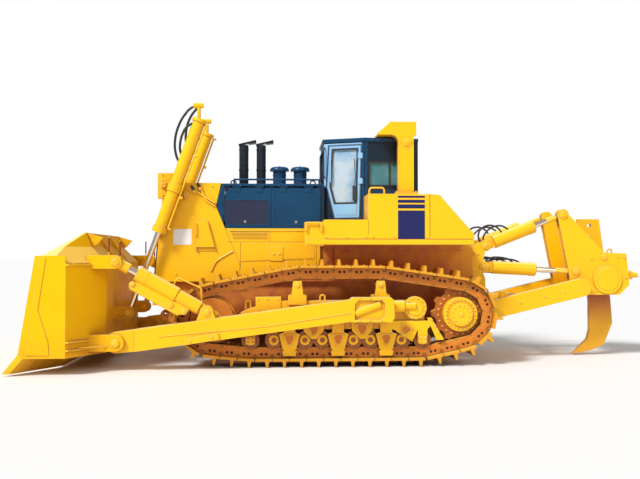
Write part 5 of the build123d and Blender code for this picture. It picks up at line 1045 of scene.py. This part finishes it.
def dress_sides():
    """Panel edges, access boxes, steps, handles and stripes below the hood and on the fenders."""
    parts = bmesh.new()
    face = GUARD_FACE
    slab(parts, (0.60, face - 0.002, 2.545), (2.36, face + 0.012, 2.565))
    plate(parts, LOUVRE_PLATE, face - 0.001, face + 0.004)
    slab(parts, (1.32, face - 0.002, 1.96), (1.57, face + 0.016, 2.235))
    side_bolts(parts, ((1.39, 2.10), (1.50, 2.10)), face + 0.016, 0.03)
    plate(parts, ACCESS_PLATE, face - 0.001, face + 0.003)
    face = FENDER_FACE
    slab(parts, (-2.235, face - 0.002, FENDER_LOW + 0.004), (0.90, face + 0.014, FENDER_LOW + 0.09))
    foot = BOX_TOP - 0.02
    staple(parts, (-0.29, face - 0.10, foot), (-0.569, face - 0.10, foot), UP * (3.335 - foot), 0.018, 0.06)
    inner, outer = face - 0.004, face + 0.05
    tube(parts, [(0.90, inner, 2.52), (0.90, outer, 2.52), (0.90, outer, 2.675), (0.62, outer, 2.675),
                 (0.62, outer, 2.52), (0.62, inner, 2.52)], 0.016, 0.04)
    for x in STEP_BAR_X:
        slab(parts, (x, 1.22, 2.686), (x + 0.016, 1.70, 2.696))
    for x in BOX_BAR_X:
        slab(parts, (x, 1.05, LOW_BOX_TOP - 0.002), (x + 0.02, 1.68, LOW_BOX_TOP + 0.008))
    side_bolts(parts, FENDER_BOLTS, face, 0.022)
    piece("side_trim", parts)
    stripes = bmesh.new()
    for low, high in STRIPES:
        plate(stripes, box_outline(*STRIPE_X, low, high), face - 0.001, face + 0.0015)
    piece("fender_stripes", stripes, "tractor", "blue_paint", navy_paint)


# Cab: outlines along a wall and upward
DOOR_OUTLINE = [(0.100, 4.250), (0.050, 3.430), (0.215, 2.800), (0.740, 2.800), (0.780, 4.250)]
DOOR_WINDOW = [(0.178, 4.170), (0.131, 3.440), (0.221, 3.100), (0.668, 3.100), (0.698, 4.170)]
DOOR_PANEL = [(0.272, 2.868), (0.672, 2.868), (0.678, 3.110), (0.208, 3.110)]
DOOR_WIPER = ((0.62, 3.30), (0.66, 3.62), (0.63, 3.98))
A_POST = [(0.003, 4.285), (0.003, 3.430), (0.040, 3.430), (0.090, 4.285)]
DOOR_HEADER = box_outline(0.090, 0.785, 4.258, 4.285)
SIDE_PANEL = box_outline(0.09, 0.95, 2.80, 3.36)
SIDE_WINDOW = box_outline(0.075, 0.915, 3.425, 3.915)
FRONT_WINDOW = box_outline(0.075, 1.125, 3.235, 4.215)
REAR_WINDOW = box_outline(0.165, 1.435, 3.315, 4.165)
ROOF_LIP = (CAB_ROOF - 0.075, CAB_ROOF - 0.004)
ROOF_RIB_X = [0.34 - k * 0.13 for k in range(6)]


def wall_rule(start, end):
    """Rule that places distance along a wall, height and depth out of it."""
    start, end = Vector((*start, 0)), Vector((*end, 0))
    way = (end - start).normalized()
    out = Vector((way.y, -way.x, 0))
    return lambda u, z, depth: start + way * u + out * depth + UP * z


def wall_plate(mesh, rule, outline, near, far):
    """Plate on a wall, with an outline along the wall and upward."""
    loft(mesh, [[rule(u, z, depth) for u, z in outline] for depth in (near, far)])


def wall_band(mesh, rule, outline, width, near, far):
    """Raised border inside an outline on a wall."""
    band(mesh, outline, width, lambda u, z, level: rule(u, z, far if level else near))


def wall_bar(mesh, rule, u, low, high, depth, radius, corner):
    """Upright grab bar that stands out from a wall."""
    start, end = rule(u, low, 0), rule(u, high, 0)
    staple(mesh, start, end, rule(u, low, depth) - start, radius, corner)


door_rule = wall_rule(CAB_CORNER, CAB_MID)
side_rule = wall_rule(CAB_MID, CAB_REAR)
front_rule = wall_rule((CAB_CORNER[0], -CAB_CORNER[1]), CAB_CORNER)
rear_rule = wall_rule(CAB_REAR, (CAB_REAR[0], -CAB_REAR[1]))


def dress_cab_doors():
    """Window seal, latch, grab bar, wiper and panel of each cab door."""
    for side, label in SIDES:
        body = "cab_door_" + label
        seals, parts = bmesh.new(), bmesh.new()
        wall_band(seals, door_rule, inset(DOOR_WINDOW, -0.016), 0.034, -0.003, 0.010)
        wall_band(seals, door_rule, inset(DOOR_OUTLINE, 0.004), 0.012, -0.003, 0.004)
        wall_plate(seals, door_rule, box_outline(0.600, 0.690, 3.150, 3.440), -0.020, 0.030)
        wall_plate(seals, door_rule, box_outline(0.617, 0.673, 3.25, 3.40), 0.028, 0.040)
        tube(seals, [door_rule(u, z, 0.02) for u, z in DOOR_WIPER], 0.007, 0.08, 6)
        piece("door_seals_" + label, seals, body, "hose_rubber", side=side)
        wall_plate(parts, door_rule, DOOR_PANEL, -0.001, 0.006)
        wall_bar(parts, door_rule, 0.155, 3.52, 3.98, 0.055, 0.012, 0.03)
        piece("door_panel_" + label, parts, body, "light_blue_paint", side=side)


def dress_cab():
    """Window seals, wipers, corner strips, grab bars, posts, roof edge and ribs of the cab."""
    seals, ends = bmesh.new(), bmesh.new()
    wall_band(seals, side_rule, SIDE_WINDOW, 0.030, -0.003, 0.012)
    tube(seals, [side_rule(0.50, z, -0.01) for z in (3.44, 3.90)], 0.014, 0.02, 6)
    piece("side_window_seals", seals, "tractor", "hose_rubber")
    wall_band(ends, front_rule, FRONT_WINDOW, 0.030, -0.003, 0.012)
    wall_band(ends, rear_rule, REAR_WINDOW, 0.030, -0.003, 0.012)
    for u in (0.35, 0.85):
        wiper = ((u, 3.27, 0.012), (u + 0.06, 3.60, 0.02), (u + 0.02, 3.95, 0.012))
        tube(ends, [front_rule(*spot) for spot in wiper], 0.008, 0.1, 6)
    piece("end_window_seals", ends, "tractor", "hose_rubber", side=1)
    parts, posts, top = bmesh.new(), bmesh.new(), bmesh.new()
    for rule, length in ((door_rule, 0.843), (side_rule, 1.077)):
        wall_plate(parts, rule, box_outline(0.0, length, *ROOF_LIP), -0.01, 0.028)
    wall_plate(parts, door_rule, box_outline(0.792, 0.838, 2.72, 4.30), -0.001, 0.012)
    wall_plate(parts, side_rule, box_outline(0.010, 0.055, 2.72, 4.30), -0.001, 0.012)
    wall_plate(parts, side_rule, SIDE_PANEL, -0.001, 0.006)
    wall_band(parts, side_rule, SIDE_PANEL, 0.02, 0.0, 0.012)
    wall_bar(parts, door_rule, 0.02, 3.62, 4.20, 0.075, 0.015, 0.05)
    piece("cab_trim", parts, "tractor", "blue_paint")
    for outline in (A_POST, DOOR_HEADER):
        wall_plate(posts, door_rule, outline, -0.001, 0.008)
    piece("cab_posts", posts, "tractor", "light_blue_paint")
    wall_plate(top, front_rule, box_outline(0.0, 1.2, *ROOF_LIP), -0.01, 0.030)
    for x in ROOF_RIB_X:
        slab(top, (x - 0.02, -0.50, CAB_ROOF - 0.002), (x + 0.02, 0.50, CAB_ROOF + 0.008))
    slab(top, (-0.42, -0.30, CAB_ROOF - 0.002), (0.40, 0.30, CAB_ROOF + 0.005))
    wall_band(top, rear_rule, box_outline(0.10, 1.50, 2.75, 3.24), 0.03, -0.001, 0.010)
    piece("roof_trim", top, "tractor", "blue_paint", side=1)


# Roll-over frame and hood top
ROPS_BOSS = (-1.068, ROPS_FACE, 4.267)
ROPS_GUSSET = [(-1.20, 4.28), (-0.92, 4.28), (-0.92, 4.20), (-1.06, 4.12), (-1.20, 4.20)]
ROPS_BOLT_X = (-1.24, -1.14, -0.97, -0.87)
HOOD_SEAM_X = (0.64, 1.20, 1.58, 2.40)
HOOD_EYES = [(x, y) for x in (0.72, 2.30) for y in (-0.5, 0.5)]
HOOD_EYE = ((-0.06, -0.01), (-0.04, 0.08), (0.04, 0.08), (0.06, -0.01))
STACK_SKIRT = ((-0.100, 4.350), (-0.100, 4.392), (-0.252, 4.432), (-0.252, 4.368))


def dress_rops():
    """Side bosses, foot bolts and seam ridges of the roll-over frame."""
    parts = bmesh.new()
    cap(parts, ROPS_BOSS, LEFT, 0.085, 0.03)
    band(parts, ROPS_GUSSET, 0.012, on_side(ROPS_FACE - 0.001, ROPS_FACE + 0.006))
    for x in ROPS_BOLT_X:
        bolt(parts, (x, ROPS_FACE + 0.035, BOX_TOP + 0.075), UP, 0.034)
    slab(parts, (-1.33, 0.97, BOX_TOP - 0.002), (-0.78, 1.30, BOX_TOP + 0.014))
    staple(parts, (-0.58, 0.62, 4.40), (-0.58, 0.80, 4.40), UP * -0.04, 0.012, 0.02, 8)
    piece("rops_hardware", parts)


def post(mesh, x, low, high, radius, sides, top_radius=None):
    """Upright drum on the machine's middle line."""
    drum(mesh, (x, 0, low), (x, 0, high), radius, sides, top_radius)


def dress_hood():
    """Seams and lifting eyes on the hood, stack flanges, cleaner bands, stack bands and mouths."""
    parts, mouth, bands = bmesh.new(), bmesh.new(), bmesh.new()
    for x in HOOD_SEAM_X:
        slab(parts, (x - 0.012, -0.70, HOOD_TOP - 0.002), (x + 0.012, 0.70, HOOD_TOP + 0.006))
    for x in CLEANER_X:
        post(parts, x, HOOD_TOP - 0.002, HOOD_TOP + 0.035, 0.165, 36)
        bolt_ring(parts, (x, 0, HOOD_TOP + 0.035), UP, 0.15, 8, 0.018)
        post(parts, x, 3.70, 3.735, 0.139, 36)
        bolt(parts, (x, 0, 3.886), UP, 0.035)
    for x, y in HOOD_EYES:
        tube(parts, [(x + u, y, HOOD_TOP + v) for u, v in HOOD_EYE], 0.014, 0.03)
    for x in STACK_X:
        post(parts, x, HOOD_TOP - 0.002, HOOD_TOP + 0.03, 0.135, 32)
        bolt_ring(parts, (x, 0, HOOD_TOP + 0.03), UP, 0.117, 8, 0.02)
        post(bands, x, 3.80, 3.84, 0.101, 32)
        post(bands, x, 4.22, 4.25, 0.100, 32)
        plate(bands, [(x + u, z) for u, z in STACK_SKIRT], -0.097, 0.097)
        post(mouth, x, 4.06, 4.305, 0.082, 28, 0.0828)
        post(mouth, x, 4.04, 4.065, 0.080, 28)
    piece("hood_fittings", parts, "tractor", "blue_paint", side=1)
    piece("stack_mouths", mouth, "tractor", "dark_metal", soot, 1)
    piece("stack_bands", bands, "tractor", "blue_paint", stack_paint, 1)


# Operator's place: seat, consoles, levers and dash
SEAT_PADS = {
    "seat_pad": ((-0.975, -0.295, 2.945), (-0.385, 0.295, 3.078)),
    "seat_back": ((-0.975, -0.285, 3.085), (-0.835, 0.285, 3.600)),
    "seat_head": ((-0.970, -0.180, 3.615), (-0.850, 0.180, 3.795)),
}
PAD_CELLS = 12
BELLOWS = [(CAB_FLOOR + 0.05 + k * 0.04, 0.19 if k % 2 else 0.165) for k in range(5)]
BELLOWS_X = -0.68
CONSOLE = [(-0.85, CAB_FLOOR), (-0.20, CAB_FLOOR), (-0.12, 3.12), (-0.30, 3.22), (-0.85, 3.20)]
LEVER_Y = 0.47
DASH = [(0.40, CAB_FLOOR), (0.40, 3.28), (0.30, 3.34), (0.16, 3.10), (0.22, CAB_FLOOR)]


def cushion(name, low, high):
    """Crowned pad between two corners, with sides that pull in between its corners."""
    mesh = bmesh.new()
    bmesh.ops.create_grid(mesh, x_segments=PAD_CELLS, y_segments=PAD_CELLS, size=1.0)
    grow = bmesh.ops.extrude_face_region(mesh, geom=mesh.faces[:])["geom"]
    upper = {item for item in grow if isinstance(item, bmesh.types.BMVert)}
    half = [(b - a) / 2 for a, b in zip(low, high)]
    middle = [(a + b) / 2 for a, b in zip(low, high)]
    thin = half.index(min(half))
    wide = [k for k in range(3) if k != thin]
    for vert in mesh.verts:
        u, v = vert.co.x, vert.co.y
        near, far = sorted((abs(u), abs(v)))
        crown = (1 - abs(u) ** 4) * (1 - abs(v) ** 4)
        level = (1 if vert in upper else -1) * (0.45 + 0.55 * crown ** 0.5)
        pull = 0.015 * (1 - near ** 2) * far ** 8
        sewn = 0.06 * math.exp(-((abs(u) - 0.62) / 0.035) ** 2)
        spot = [0.0, 0.0, 0.0]
        for axis, share in zip(wide, (u, v)):
            spot[axis] = middle[axis] + half[axis] * share * (1 - pull)
        spot[thin] = middle[thin] + half[thin] * level * (1 - sewn)
        vert.co = spot
    made = piece(name, mesh, "tractor", "seat_cloth", side=1)
    made.modifiers.new("soft", "SUBSURF").render_levels = 1
    return made


def dress_cab_inside():
    """Seat with base, consoles with levers and the dash."""
    for name, (low, high) in SEAT_PADS.items():
        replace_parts(cushion(name, low, high), "operator_seat")
    base = bmesh.new()
    slab(base, (-0.90, -0.22, CAB_FLOOR - 0.001), (-0.46, 0.22, CAB_FLOOR + 0.05))
    for z, half in BELLOWS:
        slab(base, (BELLOWS_X - half, -half, z - 0.001), (BELLOWS_X + half, half, z + 0.041))
    slab(base, (-0.94, -0.25, 2.905), (-0.42, 0.25, 2.944))
    piece("seat_base", base, "tractor", "dark_metal", side=1)
    parts = bmesh.new()
    plate(parts, CONSOLE, 0.38, 0.56)
    slab(parts, (-0.62, 0.40, 3.20), (-0.34, 0.54, 3.25))
    drum(parts, (-0.24, LEVER_Y, 3.16), (-0.20, LEVER_Y, 3.34), 0.014, 10)
    drum(parts, (-0.20, LEVER_Y, 3.33), (-0.19, LEVER_Y, 3.44), 0.03, 12, 0.024)
    piece("side_consoles", parts, "tractor", "dark_metal")
    dash = bmesh.new()
    plate(dash, DASH, -0.34, 0.34)
    for y in (-0.2, 0.0, 0.2):
        drum(dash, (0.225, y, 3.205), (0.205, y, 3.217), 0.065, 20)
    for y in (-0.16, 0.16):
        slab(dash, (0.02, y - 0.07, 2.72), (0.16, y + 0.07, 2.75))
        drum(dash, (0.10, y, 2.735), (0.22, y, 2.80), 0.018, 8)
    piece("dash", dash, "tractor", "dark_metal", side=1)


# Ripper: places in X and Z, and where they are seen from along Y and Z
RIPPER_VIEW = 2.0
TOP_VIEW = 4.0
PULLER_PIN = (-5.175, 2.040)
BEAM_DISC = (-5.24, 1.59)
BEAM_BOLTS = ((-5.60, 2.02), (-5.62, 1.62), (-5.00, 1.36), (-4.92, 2.00), (-5.45, 2.04))
BEAM_EYES = ((-5.36, 0.42), (-4.93, 0.42))
ARM_EYE = (-3.072, 0.71)
ARM_SLOPE = -0.242
RIPPER_ARM_BOLTS = [(x, ARM_PIVOT[1] + (x - ARM_PIVOT[0]) * ARM_SLOPE) for x in (-3.40, -3.90, -4.30)]
MOUNT_BOLTS = [(x, z) for x in (-2.52, -2.60) for z in (1.20, 1.45, 2.10)]


def pin_cap(mesh, name, spot, start, radius, bolts):
    """Cover over a pin, on the outer face of the solid that holds it."""
    cap(mesh, left_face(name, spot, start), LEFT, radius, 0.03, bolts)


def lifting_eye(mesh, name, spot, size):
    """Upright eye on a solid's top face, at a place in X and Y."""
    hit, _ = touch(name, (*spot, TOP_VIEW), -UP)
    outline = ((-size, -0.01), (-size * 0.7, size * 1.6), (size * 0.7, size * 1.6), (size, -0.01))
    tube(mesh, [(hit.x + u, spot[1], hit.z + v) for u, v in outline], size * 0.32, size * 0.8)


def dress_ripper():
    """Pin caps, lifting eyes and bolts of ripper beam, arms and mounts."""
    beam = bmesh.new()
    for spot in (TILT_EYE, RAISE_EYE):
        pin_cap(beam, "ripper_beam", spot, RIPPER_VIEW, 0.085, 4)
    pin_cap(beam, "ripper_beam", PULLER_PIN, RIPPER_VIEW, 0.075, 0)
    hit = left_face("ripper_beam", BEAM_DISC, RIPPER_VIEW)
    drum(beam, hit - LEFT * 0.01, hit + LEFT * 0.012, 0.235, 40, 0.225)
    face_bolts(beam, "ripper_beam", BEAM_BOLTS, RIPPER_VIEW, 0.036)
    for spot in BEAM_EYES:
        lifting_eye(beam, "ripper_beam", spot, 0.05)
    piece("ripper_beam_hardware", beam, "ripper_beam")
    arm = bmesh.new()
    lifting_eye(arm, "ripper_arm", ARM_EYE, 0.07)
    face_bolts(arm, "ripper_arm", RIPPER_ARM_BOLTS, RIPPER_VIEW, 0.03)
    piece("ripper_arm_hardware", arm, "ripper_arm")
    mounts = bmesh.new()
    for spot in (TILT_BASE, RAISE_BASE, ARM_PIVOT):
        pin_cap(mounts, "ripper_mounts", spot, 0.85, 0.07, 3)
    face_bolts(mounts, "ripper_mounts", MOUNT_BOLTS, 1.2, 0.032)
    piece("ripper_mount_hardware", mounts)


# Rear tank: its slanted back runs from a top line by a drop in X and Z
TANK_TOP = (-1.596, 3.200)
TANK_DROP = (-0.654, -0.740)
TANK_NORMAL = (-0.749, 0, 0.662)
TANK_BOLTS = [(y, share) for y in (-1.70, -0.9, 0.0, 0.9, 1.70) for share in (0.05, 0.95)]
TANK_BORDER = box_outline(-0.75, 0.75, 0.12, 0.88)
TANK_RUNGS = [(y, z) for y in (1.25, -1.25) for z in (2.34, 2.42)]
TAIL_LAMP_Y = (1.45, -1.45)


def on_tank(y, share, level=0):
    """Place on the tank's slanted back, or just above it."""
    return (TANK_TOP[0] + TANK_DROP[0] * share - 0.006 * level, y,
            TANK_TOP[1] + TANK_DROP[1] * share + 0.006 * level)


def dress_rear():
    """Filler caps, rungs, bolts, border and lamps of the rear tank."""
    parts, lamps, lenses = bmesh.new(), bmesh.new(), bmesh.new()
    cap(parts, (-1.50, 0.55, 3.208), UP, 0.12, 0.08)
    drum(parts, (-1.50, -0.55, 3.20), (-1.50, -0.55, 3.26), 0.09, 28, 0.08)
    for y, z in TANK_RUNGS:
        staple(parts, (-2.24, y - 0.2, z), (-2.24, y + 0.2, z), FRONT * -0.05, 0.012, 0.02)
    for y, share in TANK_BOLTS:
        bolt(parts, on_tank(y, share), TANK_NORMAL, 0.026)
    band(parts, TANK_BORDER, 0.03, on_tank)
    piece("tank_fittings", parts, side=1)
    for y in TAIL_LAMP_Y:
        slab(lamps, (-2.27, y - 0.09, 2.37), (-2.245, y + 0.09, 2.47))
        slab(lenses, (-2.276, y - 0.075, 2.385), (-2.266, y + 0.075, 2.455))
    piece("tail_lamps", lamps, "tractor", "dark_metal", side=1)
    piece("tail_lamp_lenses", lenses, "tractor", "glass", lamp_lens, 1)


# Floor, light and camera
def make_sky():
    """White sky that lights the machine less than it shows."""
    world = bpy.data.worlds.new("sky")
    world.use_nodes = True
    tree = world.node_tree
    sky = tree.nodes["Background"]
    backdrop = tree.nodes.new("ShaderNodeBackground")
    for shade, strength in ((sky, SKY_STRENGTH), (backdrop, BACKDROP_STRENGTH)):
        shade.inputs["Color"].default_value = SKY_COLOUR
        shade.inputs["Strength"].default_value = strength
    both = tree.nodes.new("ShaderNodeMixShader")
    tree.links.new(tree.nodes.new("ShaderNodeLightPath").outputs["Is Camera Ray"], both.inputs["Fac"])
    tree.links.new(sky.outputs[0], both.inputs[1])
    tree.links.new(backdrop.outputs[0], both.inputs[2])
    tree.links.new(both.outputs[0], tree.nodes["World Output"].inputs["Surface"])
    bpy.context.scene.world = world


def make_stage():
    """Pale floor, a soft key light and a weaker fill light."""
    bpy.ops.mesh.primitive_plane_add(size=2 * FLOOR_HALF)
    floor = bpy.context.object
    floor.name = "floor"
    material, _, skin = shader("floor")
    skin.inputs["Base Color"].default_value = FLOOR_COLOUR
    skin.inputs["Roughness"].default_value = FLOOR_ROUGHNESS
    floor.data.materials.append(material)
    for name, (strength, tilt) in LIGHTS.items():
        light = bpy.data.lights.new(name, "SUN")
        light.energy = strength
        light.angle = math.radians(LIGHT_SPREAD)
        sun = bpy.data.objects.new(name, light)
        sun.rotation_euler = [math.radians(angle) for angle in tilt]
        bpy.context.scene.collection.objects.link(sun)


def make_camera():
    """Camera at the photograph's place and angle."""
    data = bpy.data.cameras.new("camera")
    data.sensor_width = SENSOR
    data.lens = LENS_PIXELS / PICTURE_WIDTH * SENSOR
    camera = bpy.data.objects.new("camera", data)
    camera.location = CAMERA_SPOT
    camera.rotation_euler = (math.radians(90 + CAMERA_PITCH), 0, math.radians(180 - CAMERA_YAW))
    bpy.context.scene.collection.objects.link(camera)
    bpy.context.scene.camera = camera


dress_nodes()
dress_tracks()
dress_undercarriage()
dress_push_arms()
dress_blade()
dress_blade_cylinders()
dress_ripper_cylinders()
dress_guard()
dress_engine_doors()
dress_seams()
dress_sides()
dress_cab_doors()
dress_cab()
dress_rops()
dress_hood()
dress_cab_inside()
dress_ripper()
dress_rear()
make_sky()
make_stage()
make_camera()
bpy.context.scene.view_settings.view_transform = "Standard"
